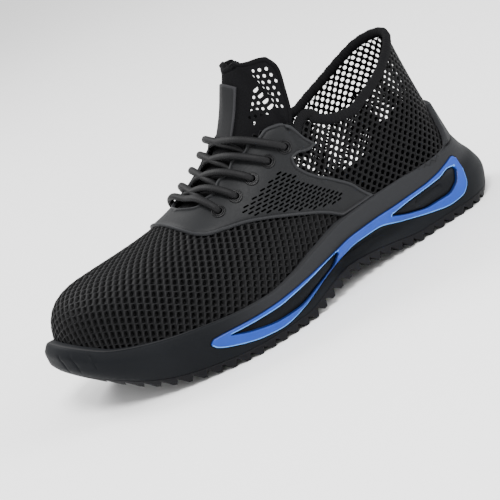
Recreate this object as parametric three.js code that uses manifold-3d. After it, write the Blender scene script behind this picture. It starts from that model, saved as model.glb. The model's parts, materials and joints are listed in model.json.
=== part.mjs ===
// Low safety trainer for the left foot: a knitted upper over a toe cap, on a moulded sole with inlaid side loops.
// Millimetres. X runs from the toe (-) to the heel (+), +Y is the inner side of the foot, Z = 0 is the floor.
import * as THREE from "three";
import { mergeVertices } from "three/addons/utils/BufferGeometryUtils.js";
import Module from "manifold-3d";

const wasm = await Module();
wasm.setup();

// Clearance that neighbouring pieces keep, and the smallest step used for slopes of the surfaces.
const GAP = 0.3;
const STEP = 0.002;

// Sole.
const SOLE_LENGTH = 306;
const BALL_WIDTH = 111;
const TOE_ROUND = 58;
const HEEL_ROUND = 42;
const TOE_POWER = 2.5;
const HEEL_POWER = 2;
const SIDE_HEIGHT = 42;
const SIDE_FLARE = 10;
const TOE_SPRING = 24;
const ARCH_RISE = 8;
const HEEL_BEVEL = 4;
const OUTSOLE_THICKNESS = 6;
const FOOTBED_HEIGHT = 31;
const LUG_PITCH = 8.4;
const LUG_DEPTH = 3.4;
const GROOVE_WIDTH = 5.4;
const GROOVE_SPARE = 1;

// Upper, worked out over a last with a leg, and the pieces that follow the same last.
const TOE_MARGIN = 9;
const HEEL_MARGIN = 16;
const SIDE_MARGIN = 6;
const WALL = 2;
const INSTEP_HEIGHT = 80;
const LEG_HEIGHT = 150;
const LEG_WIDTH = 62;
const LEG_START = 0.6;
const LEG_BACK = 0.955;
const BULGE = 3;
const COLLAR_HEIGHT = 116;
const WALL_POWER = 1.8;
const RISE_LIMIT = 0.985;

// Mesh steps round and up the sole and the last.
const TURNS = 48;
const RISES = 9;
const SOLE_RINGS = 4;
const SKIRT = 6;
const BLOCK_STEPS = 40;
const BLOCK_SPARE = 0.1;
const PLACE_PASSES = 24;
const COLLAR_STEPS = 14;
const THROAT_STEPS = 18;

// Inlay on each side of the midsole.
const INLAY_PROUD = 0.9;
const INLAY_DEPTH = 1.6;
const INLAY_PIECES = 13;
const HOLE_PIECES = 6;
const FIRST_GROOVE = -0.46;
const LAST_GROOVE = 0.475;

// Insole, heel riser, collar binding and eyestay.
const INSOLE_THICKNESS = 5;
const RISER_HEIGHT = 68;
const RISER_THICKNESS = 3.2;
const BINDING_PROUD = 1.2;
const BINDING_HEIGHT = 5;
const BINDING_START = 0.09;
const EYESTAY_THICKNESS = 1.3;
const PIPING_PROUD = 0.7;
const PIPING_WIDTH = 2.4;
const SLOT_STEP = 2.5;
const SCALLOP = 1.2;
const THROAT_ROUND = 9;
const THROAT_END = 0.25;

// Tongue and its tab.
const TONGUE_THICKNESS = 4;
const TAB_WIDTH = 23;
const TAB_LENGTH = 30;
const TAB_THICKNESS = 1;
const TAB_LOW = 109;
const TAB_DEPTH = 35;

// Eyelets and lace.
const EYELET_PITCH = 13;
const EYELET_BORE = 2.6;
const EYELET_BARREL = 3.2;
const EYELET_FLANGE = 4.3;
const EYELET_SEAT = 0.5;
const EYELET_LIP = 0.8;
const EYELET_SIDES = 8;
const LACE_RADIUS = 2;
const LACE_LIFT = 5.4;
const LACE_CROWN = 0.32;
const LACE_SIDES = 6;
const LACE_STEPS = 9;

// Plan of the sole, toe to heel: middle line and width as shares of the ball width.
const OUTLINE = [
  { at: 0.0, middle: 0.2, width: 0.74 },
  { at: 0.1, middle: 0.145, width: 0.85 },
  { at: 0.2, middle: 0.085, width: 0.94 },
  { at: 0.32, middle: 0.022, width: 1.0 },
  { at: 0.42, middle: 0.0, width: 0.97 },
  { at: 0.55, middle: -0.009, width: 0.86 },
  { at: 0.68, middle: -0.009, width: 0.76 },
  { at: 0.82, middle: 0.0, width: 0.73 },
  { at: 1.0, middle: 0.0, width: 0.72 },
];

// Underside, toe to heel: shares of the toe spring, of the arch rise and of the heel bevel.
const UNDERSIDE = [
  { at: 0.0, toe: 1.0, arch: 0, heel: 0 },
  { at: 0.055, toe: 0.62, arch: 0, heel: 0 },
  { at: 0.1, toe: 0.35, arch: 0, heel: 0 },
  { at: 0.15, toe: 0.17, arch: 0, heel: 0 },
  { at: 0.21, toe: 0.06, arch: 0, heel: 0 },
  { at: 0.275, toe: 0, arch: 0, heel: 0 },
  { at: 0.42, toe: 0, arch: 0, heel: 0 },
  { at: 0.5, toe: 0, arch: 0.6, heel: 0 },
  { at: 0.56, toe: 0, arch: 1.0, heel: 0 },
  { at: 0.62, toe: 0, arch: 0.8, heel: 0 },
  { at: 0.68, toe: 0, arch: 0.4, heel: 0 },
  { at: 0.75, toe: 0, arch: 0, heel: 0 },
  { at: 0.94, toe: 0, arch: 0, heel: 0 },
  { at: 1.0, toe: 0, arch: 0, heel: 1.0 },
];

// Rim of the sole as a share of the side height, and footbed as a share of the footbed height.
const SOLE_TOP = [
  { at: 0.0, rim: 1.14, bed: 1.22 },
  { at: 0.03, rim: 1.02, bed: 1.13 },
  { at: 0.055, rim: 0.93, bed: 1.0 },
  { at: 0.1, rim: 0.85, bed: 0.82 },
  { at: 0.16, rim: 0.78, bed: 0.68 },
  { at: 0.22, rim: 0.73, bed: 0.62 },
  { at: 0.3, rim: 0.69, bed: 0.58 },
  { at: 0.36, rim: 0.68, bed: 0.59 },
  { at: 0.43, rim: 0.75, bed: 0.63 },
  { at: 0.5, rim: 0.87, bed: 0.73 },
  { at: 0.6, rim: 0.99, bed: 0.92 },
  { at: 0.7, rim: 1.0, bed: 1.0 },
  { at: 0.85, rim: 0.97, bed: 1.0 },
  { at: 1.0, rim: 1.04, bed: 1.0 },
];

// Side of the sole, floor to rim: how far it stands back from the plan, as shares of the side flare.
const SIDE_STATIONS = { toe: 0.0, ball: 0.32, arch: 0.58, heel: 0.86, back: 1.0 };
const SIDE_SECTION = [
  { at: 0.0, toe: 1.1, ball: 0.15, arch: 0.4, heel: 0.2, back: 0.7 },
  { at: 0.15, toe: 0.65, ball: 0.0, arch: 0.5, heel: 0.05, back: 0.25 },
  { at: 0.32, toe: 0.3, ball: 0.0, arch: 0.9, heel: 0.0, back: 0.1 },
  { at: 0.52, toe: 0.1, ball: 0.0, arch: 0.1, heel: 0.1, back: 0.4 },
  { at: 0.75, toe: 0.1, ball: 0.05, arch: 0.0, heel: 0.35, back: 1.0 },
  { at: 1.0, toe: 0.45, ball: 0.2, arch: 0.15, heel: 0.6, back: 1.5 },
];

// Last, toe to heel: fullness of the section, share of straight wall in it and share of the side bulge.
const LAST = [
  { at: 0.0, fullness: 2.7, wall: 0, bulge: 0.1 },
  { at: 0.1, fullness: 2.6, wall: 0, bulge: 0.4 },
  { at: 0.3, fullness: 2.3, wall: 0, bulge: 0.8 },
  { at: 0.42, fullness: 2.1, wall: 0, bulge: 0.6 },
  { at: 0.5, fullness: 2.1, wall: 0.02, bulge: 0.5 },
  { at: 0.55, fullness: 2.2, wall: 0.08, bulge: 0.5 },
  { at: 0.6, fullness: 2.4, wall: 0.2, bulge: 0.6 },
  { at: 0.7, fullness: 2.4, wall: 0.7, bulge: 0.9 },
  { at: 0.8, fullness: 2.4, wall: 1, bulge: 1 },
  { at: 0.92, fullness: 2.4, wall: 1, bulge: 0.8 },
  { at: 1.0, fullness: 2.4, wall: 1, bulge: 0 },
];

// Ridge of the last in front of the leg: place along the upper, and height as a share of the instep height.
const RIDGE = [
  { at: 0.0, along: 0.115, up: 0.9 },
  { at: 0.05, along: 0.13, up: 0.915 },
  { at: 0.1, along: 0.155, up: 0.925 },
  { at: 0.2, along: 0.223, up: 0.955 },
  { at: 0.3, along: 0.304, up: 1.01 },
  { at: 0.4, along: 0.4, up: 1.14 },
  { at: 0.47, along: 0.47, up: 1.3 },
  { at: 0.53, along: 0.515, up: 1.52 },
  { at: 0.6, along: 0.56, up: 1.875 },
];

// Inlay in the side view: place along the sole from its middle, and low and high edge over the side height.
const INLAY = [
  { at: -0.277, low: 0.45, high: 0.47 },
  { at: -0.268, low: 0.38, high: 0.52 },
  { at: -0.235, low: 0.29, high: 0.53 },
  { at: -0.185, low: 0.21, high: 0.53 },
  { at: -0.135, low: 0.18, high: 0.54 },
  { at: -0.09, low: 0.22, high: 0.57 },
  { at: -0.035, low: 0.32, high: 0.62 },
  { at: 0.026, low: 0.47, high: 0.68 },
  { at: 0.085, low: 0.58, high: 0.73 },
  { at: 0.147, low: 0.57, high: 0.73 },
  { at: 0.21, low: 0.43, high: 0.72 },
  { at: 0.285, low: 0.29, high: 0.72 },
  { at: 0.33, low: 0.24, high: 0.75 },
  { at: 0.36, low: 0.26, high: 0.8 },
  { at: 0.385, low: 0.38, high: 0.84 },
  { at: 0.395, low: 0.6, high: 0.78 },
];
const FRONT_HOLE = [
  { at: -0.236, low: 0.46, high: 0.465 },
  { at: -0.2, low: 0.38, high: 0.465 },
  { at: -0.135, low: 0.3, high: 0.47 },
  { at: -0.09, low: 0.29, high: 0.51 },
  { at: -0.035, low: 0.38, high: 0.575 },
  { at: 0.01, low: 0.47, high: 0.635 },
  { at: 0.035, low: 0.62, high: 0.66 },
];
const REAR_HOLE = [
  { at: 0.19, low: 0.605, high: 0.62 },
  { at: 0.235, low: 0.48, high: 0.645 },
  { at: 0.285, low: 0.4, high: 0.655 },
  { at: 0.33, low: 0.4, high: 0.67 },
  { at: 0.36, low: 0.48, high: 0.72 },
  { at: 0.377, low: 0.63, high: 0.7 },
];

// Heel riser in the side view: place along the sole from its middle, and height over the riser height.
const RISER = [
  { along: 0.34, up: 0.5 },
  { along: 0.56, up: 0.5 },
  { along: 0.56, up: 1 },
  { along: 0.41, up: 0.975 },
  { along: 0.398, up: 0.94 },
  { along: 0.396, up: 0.86 },
  { along: 0.398, up: 0.78 },
  { along: 0.394, up: 0.7 },
  { along: 0.382, up: 0.63 },
  { along: 0.364, up: 0.585 },
];

// Collar line: place along the sole from its middle, and height over the collar height.
const COLLAR = [
  { at: 0.016, up: 0.925 },
  { at: 0.05, up: 0.93 },
  { at: 0.08, up: 0.9 },
  { at: 0.1, up: 0.875 },
  { at: 0.128, up: 0.85 },
  { at: 0.15, up: 0.815 },
  { at: 0.177, up: 0.79 },
  { at: 0.212, up: 0.78 },
  { at: 0.25, up: 0.81 },
  { at: 0.3, up: 0.86 },
  { at: 0.35, up: 0.925 },
  { at: 0.39, up: 0.98 },
  { at: 0.42, up: 1.0 },
  { at: 0.5, up: 1.0 },
];

// Throat: place along the sole from its middle, and half width over the ball width.
const THROAT = [
  { at: -0.155, half: 0.13 },
  { at: -0.13, half: 0.145 },
  { at: -0.072, half: 0.147 },
  { at: -0.03, half: 0.173 },
  { at: 0.006, half: 0.212 },
  { at: 0.05, half: 0.238 },
];

// Eyelets, toe to top: place along the sole from its middle, distance from the middle line over the ball width,
// and how far in front of its row a lace passes over the ridge.
const EYELETS = [
  { at: -0.124, spread: 0.25, forward: 0.01 },
  { at: -0.082, spread: 0.262, forward: 0.018 },
  { at: -0.039, spread: 0.272, forward: 0.03 },
  { at: 0.004, spread: 0.287, forward: 0.046 },
  { at: 0.045, spread: 0.3, forward: 0.062 },
];

// Eyestay in the side view, counter-clockwise: place from the sole's middle, and height over the collar height.
const EYESTAY = [
  { along: -0.2, up: 1.1 },
  { along: -0.2, up: 0.68 },
  { along: -0.196, up: 0.662 },
  { along: -0.188, up: 0.638 },
  { along: -0.17, up: 0.615 },
  { along: -0.137, up: 0.602 },
  { along: -0.1, up: 0.587 },
  { along: -0.065, up: 0.56 },
  { along: -0.03, up: 0.525 },
  { along: 0.01, up: 0.48 },
  { along: 0.05, up: 0.43 },
  { along: 0.09, up: 0.36 },
  { along: 0.105, up: 0.3 },
  { along: 0.19, up: 0.3 },
  { along: 0.177, up: 0.36 },
  { along: 0.157, up: 0.42 },
  { along: 0.137, up: 0.49 },
  { along: 0.1, up: 0.57 },
  { along: 0.07, up: 0.63 },
  { along: 0.052, up: 0.685 },
  { along: 0.047, up: 0.72 },
  { along: 0.05, up: 0.748 },
  { along: 0.063, up: 0.755 },
  { along: 0.085, up: 0.742 },
  { along: 0.108, up: 0.75 },
  { along: 0.09, up: 0.815 },
  { along: 0.082, up: 0.87 },
  { along: 0.075, up: 0.905 },
  { along: 0.06, up: 0.93 },
  { along: 0.035, up: 0.935 },
  { along: 0.02, up: 0.915 },
  { along: 0.004, up: 0.89 },
];

// Tongue in the side view, counter-clockwise: place from the sole's middle, and height over the leg height.
const TONGUE = [
  { along: -0.3, up: 0.98 },
  { along: -0.19, up: 0.62 },
  { along: -0.185, up: 0.47 },
  { along: -0.1, up: 0.49 },
  { along: -0.03, up: 0.535 },
  { along: 0.035, up: 0.59 },
  { along: 0.078, up: 0.66 },
  { along: 0.1, up: 0.73 },
  { along: 0.112, up: 0.82 },
  { along: 0.118, up: 0.91 },
  { along: 0.105, up: 0.965 },
  { along: 0.07, up: 0.985 },
];

// Lace over a flap, or ending at its edge: share of the way across past the eyelet or past the edge, and height
// over the lace lift.
const LACE_OVER = [
  { inward: 0.0, up: 1.0 },
  { inward: 0.12, up: 1.0 },
  { inward: 0.28, up: 0.9 },
];
const LACE_TUCK = [
  { inward: 0.105, up: 0.12 },
  { inward: 0.19, up: 0.22 },
];

// Smooth monotone curve through one column of a table.
function curve(table, column) {
  const x = table.map((row) => row.at);
  const y = table.map((row) => row[column]);
  const slope = (i) => (y[i + 1] - y[i]) / (x[i + 1] - x[i]);
  const tangent = x.map((_, i) => {
    if (i === 0) return slope(0);
    if (i === x.length - 1) return slope(i - 1);
    const before = slope(i - 1);
    const after = slope(i);
    return before * after <= 0 ? 0 : (2 * before * after) / (before + after);
  });
  return (at) => {
    const place = Math.min(Math.max(at, x[0]), x[x.length - 1]);
    const i = Math.max(x.findLastIndex((value, k) => value <= place && k < x.length - 1), 0);
    const span = x[i + 1] - x[i];
    const t = (place - x[i]) / span;
    const a = (1 + 2 * t) * (1 - t) ** 2 * y[i] + t * (1 - t) ** 2 * span * tangent[i];
    return a + t * t * (3 - 2 * t) * y[i + 1] - t * t * (1 - t) * span * tangent[i + 1];
  };
}

const SIDES = { lateral: -1, medial: 1 };
const mix = (a, b, share) => a + (b - a) * share;
const stationOf = (turn) => (1 - Math.cos(Math.PI * turn)) / 2;
const sideOf = (turn) => (((turn % 2) + 2) % 2 > 1 ? 1 : -1);
const turnOf = (at, side) => {
  const turn = Math.acos(1 - 2 * Math.min(Math.max(at, 0), 1)) / Math.PI;
  return side < 0 ? turn : 2 - turn;
};

// Sole heights by station of the sole.
const toeShare = curve(UNDERSIDE, "toe");
const archShare = curve(UNDERSIDE, "arch");
const heelShare = curve(UNDERSIDE, "heel");
const rimShare = curve(SOLE_TOP, "rim");
const bedShare = curve(SOLE_TOP, "bed");
const soleStation = (x) => x / SOLE_LENGTH + 0.5;
const underside = (at) => toeShare(at) * TOE_SPRING + archShare(at) * ARCH_RISE + heelShare(at) * HEEL_BEVEL;
const rim = (at) => rimShare(at) * SIDE_HEIGHT;
const footbed = (at) => bedShare(at) * FOOTBED_HEIGHT;
const parting = (at) => underside(at) + OUTSOLE_THICKNESS;

// Plans: the closed line seen from above, as a start, a length, a middle line and a half width.
const outlineMiddle = curve(OUTLINE, "middle");
const outlineWidth = curve(OUTLINE, "width");
const SOLE_PLAN = {
  start: -SOLE_LENGTH / 2,
  length: SOLE_LENGTH,
  toeRound: TOE_ROUND,
  heelRound: HEEL_ROUND,
  middle: (at) => outlineMiddle(at) * BALL_WIDTH,
  half: (at) => (outlineWidth(at) * BALL_WIDTH) / 2,
};
const UPPER_LENGTH = SOLE_LENGTH - TOE_MARGIN - HEEL_MARGIN;
const upperX = (at) => TOE_MARGIN - SOLE_LENGTH / 2 + at * UPPER_LENGTH;
const UPPER_PLAN = {
  start: upperX(0),
  length: UPPER_LENGTH,
  toeRound: TOE_ROUND - TOE_MARGIN / 2,
  heelRound: HEEL_ROUND - HEEL_MARGIN / 2,
  middle: (at) => SOLE_PLAN.middle(soleStation(upperX(at))),
  half: (at) => SOLE_PLAN.half(soleStation(upperX(at))) - SIDE_MARGIN,
};

function rounding(distance, reach, power) {
  const rest = 1 - Math.min(Math.max(distance / reach, 0), 1);
  return (1 - rest ** power) ** (1 / power);
}

// A turn runs from 0 at the toe along the outer side to 1 at the heel, and back along the inner side to 2.
function planPoint(turn, plan) {
  const at = stationOf(turn);
  const run = at * plan.length;
  const ends = rounding(run, plan.toeRound, TOE_POWER) * rounding(plan.length - run, plan.heelRound, HEEL_POWER);
  return new THREE.Vector2(plan.start + run, plan.middle(at) + sideOf(turn) * plan.half(at) * ends);
}

function planNormal(turn, plan) {
  const tangent = planPoint(turn + STEP, plan).sub(planPoint(turn - STEP, plan)).normalize();
  return new THREE.Vector2(tangent.y, -tangent.x);
}

// How far the side of the sole stands back from its plan, at a share of its height.
const sectionCurves = Object.keys(SIDE_STATIONS).map((name) => curve(SIDE_SECTION, name));
const sectionPlaces = Object.values(SIDE_STATIONS);
function setback(share, at) {
  const rows = sectionCurves.map((column, i) => ({ at: sectionPlaces[i], back: column(share) }));
  return curve(rows, "back")(at) * SIDE_FLARE;
}

function solidOf(points, triangles) {
  const used = new Map();
  const vertices = [];
  const faces = [];
  for (const triangle of triangles) {
    if (new Set(triangle).size < 3) continue;
    for (const corner of triangle) {
      if (!used.has(corner)) {
        used.set(corner, vertices.length / 3);
        vertices.push(...points[corner].toArray());
      }
      faces.push(used.get(corner));
    }
  }
  const mesh = { numProp: 3, vertProperties: new Float32Array(vertices), triVerts: new Uint32Array(faces) };
  return new wasm.Manifold(new wasm.Mesh(mesh));
}

// Closed body from rings that share the turns: pointAt(turn, level) for levels 0 to the last, with flat-ruled lids.
function ringBody(levels, pointAt, ridgeAt = () => false) {
  const points = [];
  for (let i = 0; i < TURNS; i += 1) {
    for (let j = 0; j <= levels; j += 1) {
      points.push(pointAt((2 * i) / TURNS, j));
    }
  }
  const index = (i, j) => {
    const turn = ((i % TURNS) + TURNS) % TURNS;
    const mirrored = j === levels && turn > TURNS / 2 && ridgeAt((2 * turn) / TURNS);
    return (mirrored ? TURNS - turn : turn) * (levels + 1) + j;
  };
  const triangles = [];
  const quad = (a, b, c, d) => triangles.push([a, b, c], [a, c, d]);
  for (let i = 0; i < TURNS; i += 1) {
    for (let j = 0; j < levels; j += 1) {
      quad(index(i, j), index(i + 1, j), index(i + 1, j + 1), index(i, j + 1));
    }
  }
  for (let i = 0; i < TURNS / 2; i += 1) {
    quad(index(i, levels), index(i + 1, levels), index(-i - 1, levels), index(-i, levels));
    quad(index(-i, 0), index(-i - 1, 0), index(i + 1, 0), index(i, 0));
  }
  return solidOf(points, triangles);
}

// Slice of the sole between two height functions, its side moved out by a margin.
function soleSlice(low, high, margin = 0, rings = SOLE_RINGS) {
  return ringBody(rings, (turn, level) => {
    const at = stationOf(turn);
    const height = mix(low(at), high(at), level / rings);
    const share = (height - underside(at)) / (rim(at) - underside(at));
    const out = planNormal(turn, SOLE_PLAN).multiplyScalar(margin - setback(share, at));
    const place = planPoint(turn, SOLE_PLAN).add(out);
    return new THREE.Vector3(place.x, place.y, height);
  });
}

// Last surface.
const fullness = curve(LAST, "fullness");
const wallShare = curve(LAST, "wall");
const bulgeShare = curve(LAST, "bulge");
const ridgeAlong = curve(RIDGE, "along");
const ridgeUp = curve(RIDGE, "up");

function crownPoint(turn) {
  const at = stationOf(turn);
  const middle = UPPER_PLAN.middle(at);
  if (at <= LEG_START) {
    return new THREE.Vector3(upperX(ridgeAlong(at)), middle, ridgeUp(at) * INSTEP_HEIGHT);
  }
  const share = (at - LEG_START) / (1 - LEG_START);
  const half = LEG_WIDTH * Math.sqrt(share * (1 - share));
  const along = mix(ridgeAlong(LEG_START), LEG_BACK, share);
  return new THREE.Vector3(upperX(along), middle + sideOf(turn) * half, LEG_HEIGHT);
}

// Point of the last: rise is 0 at the footbed and 1 at the ridge or at the top of the leg.
function lastPoint(turn, rise) {
  const at = stationOf(turn);
  const foot = planPoint(turn, UPPER_PLAN);
  const crown = crownPoint(turn);
  const angle = (rise * Math.PI) / 2;
  const power = 2 / fullness(at);
  const spread = mix(Math.cos(angle) ** power, (1 - rise) ** WALL_POWER, wallShare(at));
  const climb = mix(Math.sin(angle) ** power, rise, wallShare(at));
  const bulge = bulgeShare(at) * BULGE * Math.sin(Math.PI * Math.sqrt(rise));
  const out = planNormal(turn, UPPER_PLAN).multiplyScalar(bulge);
  const bed = footbed(soleStation(foot.x));
  return new THREE.Vector3(
    mix(crown.x, foot.x, spread) + out.x,
    mix(crown.y, foot.y, spread) + out.y,
    mix(bed, crown.z, climb),
  );
}

const ridged = (turn) => stationOf(turn) <= LEG_START;

function lastNormal(turn, rise) {
  const place = Math.min(rise, RISE_LIMIT);
  const along = lastPoint(turn + STEP, place).sub(lastPoint(turn - STEP, place));
  const up = lastPoint(turn, place + STEP).sub(lastPoint(turn, Math.max(place - STEP, 0)));
  const normal = along.cross(up);
  if (rise === 1 && ridged(turn)) normal.y = 0;
  return normal.normalize();
}

const lastAt = (turn, rise, offset) => lastPoint(turn, rise).addScaledVector(lastNormal(turn, rise), offset);

// Closed body of the last, grown by an offset, with a skirt that hangs below the footbed.
function lastBody(offset, skirt = 0) {
  const hem = skirt > 0 ? 1 : 0;
  return ringBody(RISES + hem, (turn, level) => {
    const point = lastAt(turn, Math.max(level - hem, 0) / RISES, offset);
    if (level < hem) point.z -= skirt;
    return point;
  }, ridged);
}

// Layer of the last between two offsets, and the same for the side of the midsole.
const lastLayer = (outer, inner) => lastBody(outer).subtract(lastBody(inner, SKIRT));
const soleSide = (margin) => soleSlice((at) => parting(at) + GAP, rim, margin);

// Block between two heights that follow the sole's stations, wider than the shoe.
function heightBlock(low, high) {
  const points = [];
  const triangles = [[0, 2, 1], [0, 3, 2]];
  const last = 4 * BLOCK_STEPS;
  for (let i = 0; i <= BLOCK_STEPS; i += 1) {
    const at = mix(-BLOCK_SPARE, 1 + BLOCK_SPARE, i / BLOCK_STEPS);
    const x = (at - 0.5) * SOLE_LENGTH;
    for (const [side, height] of [[-1, low], [1, low], [1, high], [-1, high]]) {
      points.push(new THREE.Vector3(x, side * BALL_WIDTH, height(at)));
    }
  }
  for (let a = 0; a < last; a += 1) {
    const b = a % 4 === 3 ? a - 3 : a + 1;
    triangles.push([a, b, b + 4], [a, b + 4, a + 4]);
  }
  triangles.push([last, last + 1, last + 2], [last, last + 2, last + 3]);
  return solidOf(points, triangles);
}

function solidFrom(geometry) {
  geometry.deleteAttribute("normal");
  geometry.deleteAttribute("uv");
  const merged = mergeVertices(geometry);
  const points = [];
  const triangles = [];
  const { position } = merged.attributes;
  for (let i = 0; i < position.count; i += 1) points.push(new THREE.Vector3().fromBufferAttribute(position, i));
  for (let i = 0; i < merged.index.count; i += 3) triangles.push([0, 1, 2].map((k) => merged.index.getX(i + k)));
  return solidOf(points, triangles);
}

// Prism whose outline is drawn in the side view, from one Y to another.
function sidePrism(outline, from, to) {
  const shape = new THREE.Shape(outline.map(([x, z]) => new THREE.Vector2(x, z)));
  const geometry = new THREE.ExtrudeGeometry(shape, { depth: to - from, bevelEnabled: false });
  return solidFrom(geometry.rotateX(Math.PI / 2).translate(0, to, 0));
}

// Prism whose outline is drawn in plan, taller than the shoe.
function planPrism(outline) {
  const shape = new THREE.Shape(outline.map(([x, y]) => new THREE.Vector2(x, y)));
  return solidFrom(new THREE.ExtrudeGeometry(shape, { depth: LEG_HEIGHT * 2, bevelEnabled: false }));
}

// Outline moved out by a distance, corner by corner. It runs counter-clockwise.
function grown(outline, distance) {
  return outline.map(([x, z], i) => {
    const before = outline[(i + outline.length - 1) % outline.length];
    const after = outline[(i + 1) % outline.length];
    const along = new THREE.Vector2(after[0] - before[0], after[1] - before[1]).normalize();
    return [x + along.y * distance, z - along.x * distance];
  });
}

// Smooth closed outline between the low and the high column of a table, in the side view.
function lensOutline(table, low, high, pieces) {
  const first = table[0].at;
  const span = table[table.length - 1].at - first;
  const lower = curve(table, low);
  const upper = curve(table, high);
  const outline = [];
  for (let i = 0; i <= pieces; i += 1) {
    const at = first + span * stationOf(i / pieces);
    outline.push([at * SOLE_LENGTH, lower(at) * SIDE_HEIGHT]);
  }
  for (let i = pieces; i >= 0; i -= 1) {
    const at = first + span * stationOf(i / pieces);
    outline.push([at * SOLE_LENGTH, upper(at) * SIDE_HEIGHT]);
  }
  return outline.filter(([x, z], i) => {
    const [nextX, nextZ] = outline[(i + 1) % outline.length];
    return Math.hypot(nextX - x, nextZ - z) > STEP;
  });
}

// Place on the last above a point of the plan, at a distance from the middle line, found by halving.
function placeOnLast(side, x, spread) {
  let at = (x - upperX(0)) / UPPER_LENGTH;
  let rise = 0.5;
  for (let pass = 0; pass < PLACE_PASSES; pass += 1) {
    let low = 0;
    let high = 1;
    for (let cut = 0; cut < PLACE_PASSES; cut += 1) {
      rise = (low + high) / 2;
      const wide = Math.abs(lastPoint(turnOf(at, side), rise).y - UPPER_PLAN.middle(at)) > spread;
      if (wide) low = rise;
      else high = rise;
    }
    at += (x - lastPoint(turnOf(at, side), rise).x) / UPPER_LENGTH;
  }
  return { at, side, rise };
}

const group = new THREE.Group();

// Look of each material.
const LOOKS = {
  rubber: { color: 0x1b1b1d, roughness: 0.8 },
  foam: { color: 0x303338, roughness: 0.6 },
  inlay: { color: 0x4a78d0, roughness: 0.4 },
  lining: { color: 0x2a2a2c, roughness: 0.95 },
  mesh: { color: 0x1c1c1e, roughness: 0.9 },
  overlay: { color: 0x2c2e31, roughness: 0.5 },
  label: { color: 0x3c3e42, roughness: 0.6 },
  eyelet: { color: 0x141416, roughness: 0.35 },
  lace: { color: 0x161618, roughness: 0.85 },
};

function add(name, solid, look) {
  const { vertProperties, triVerts } = solid.getMesh();
  const geometry = new THREE.BufferGeometry();
  geometry.setAttribute("position", new THREE.BufferAttribute(vertProperties, 3));
  geometry.setIndex(new THREE.BufferAttribute(triVerts, 1));
  geometry.computeVertexNormals();
  const mesh = new THREE.Mesh(geometry, new THREE.MeshStandardMaterial(look));
  mesh.name = name;
  group.add(mesh);
}

// Sole.
function outsole() {
  const comb = [];
  for (let x = FIRST_GROOVE * SOLE_LENGTH; x < LAST_GROOVE * SOLE_LENGTH; x += LUG_PITCH) {
    const height = underside(soleStation(x));
    comb.push([x - GROOVE_WIDTH / 2, height - GROOVE_SPARE]);
    comb.push([x - GROOVE_WIDTH / 4, height + LUG_DEPTH]);
    comb.push([x + GROOVE_WIDTH / 2, height - GROOVE_SPARE]);
  }
  comb.push([comb[comb.length - 1][0], -SIDE_HEIGHT], [comb[0][0], -SIDE_HEIGHT]);
  return soleSlice(underside, parting, 0, 2).subtract(sidePrism(comb.reverse(), -BALL_WIDTH, BALL_WIDTH));
}

const INLAY_OUTLINE = lensOutline(INLAY, "low", "high", INLAY_PIECES);
const INLAY_HOLES = [FRONT_HOLE, REAR_HOLE].map((table) => lensOutline(table, "low", "high", HOLE_PIECES));
function inlaySpan(side) {
  return side < 0 ? [-BALL_WIDTH, 0] : [0, BALL_WIDTH];
}

function inlay(side) {
  const ring = soleSide(INLAY_PROUD).subtract(soleSide(-INLAY_DEPTH));
  const outline = sidePrism(INLAY_OUTLINE, ...inlaySpan(side));
  const holes = INLAY_HOLES.map((hole) => sidePrism(hole, -BALL_WIDTH, BALL_WIDTH));
  return holes.reduce((solid, hole) => solid.subtract(hole), ring.intersect(outline));
}

function inlayPocket() {
  const depth = soleSide(SIDE_FLARE).subtract(soleSide(-INLAY_DEPTH - GAP));
  return depth.intersect(sidePrism(grown(INLAY_OUTLINE, GAP), -BALL_WIDTH, BALL_WIDTH));
}

function heelRiser() {
  const outline = RISER.map(({ along, up }) => [along * SOLE_LENGTH, up * RISER_HEIGHT]);
  return lastLayer(RISER_THICKNESS, GAP).intersect(sidePrism(outline, -BALL_WIDTH, BALL_WIDTH));
}

function midsole() {
  return soleSide(0).subtract(lastBody(GAP, GAP)).add(heelRiser()).subtract(inlayPocket());
}

function insole() {
  const low = (at) => footbed(at) + GAP;
  const bed = heightBlock(low, (at) => low(at) + INSOLE_THICKNESS);
  return lastBody(-WALL - GAP, SKIRT).intersect(bed);
}

// Upper.
const collarCurve = curve(COLLAR, "up");
const collarLine = (x) => collarCurve(x / SOLE_LENGTH) * COLLAR_HEIGHT;

// Strip above or below the collar line, in the side view.
function collarStrip(from, low, high) {
  const steps = Array.from({ length: COLLAR_STEPS + 1 }, (_, i) => mix(COLLAR[0].at, 0.5, i / COLLAR_STEPS));
  const places = steps.filter((at) => at >= from).map((at) => at * SOLE_LENGTH);
  const lower = places.map((x) => [x, collarLine(x) + low]);
  const higher = places.map((x) => [x, collarLine(x) + high]).reverse();
  return sidePrism([...lower, ...higher], -BALL_WIDTH, BALL_WIDTH);
}

// Throat slot in plan, its edge drawn in by a scallop at each eyelet and moved out by a margin.
const throatCurve = curve(THROAT, "half");
function throatSlot(scallop, margin) {
  const front = THROAT[0].at * SOLE_LENGTH - margin;
  const edge = [];
  for (let i = 0; i <= THROAT_STEPS; i += 1) {
    const x = mix(front, EYELETS[EYELETS.length - 1].at * SOLE_LENGTH, i / THROAT_STEPS);
    const round = rounding(x - front, THROAT_ROUND, 2);
    const wave = scallop * Math.cos((2 * Math.PI * (x - EYELETS[0].at * SOLE_LENGTH)) / EYELET_PITCH);
    edge.push([x, (throatCurve(x / SOLE_LENGTH) * BALL_WIDTH + margin - wave) * round]);
  }
  const [, half] = edge[edge.length - 1];
  edge.push([THROAT_END * SOLE_LENGTH, half]);
  const middle = (x) => SOLE_PLAN.middle(soleStation(x));
  const outer = edge.map(([x, y]) => [x, middle(x) - y]);
  const inner = edge.slice(1).map(([x, y]) => [x, middle(x) + y]).reverse();
  return planPrism([...outer, ...inner]);
}

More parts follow.
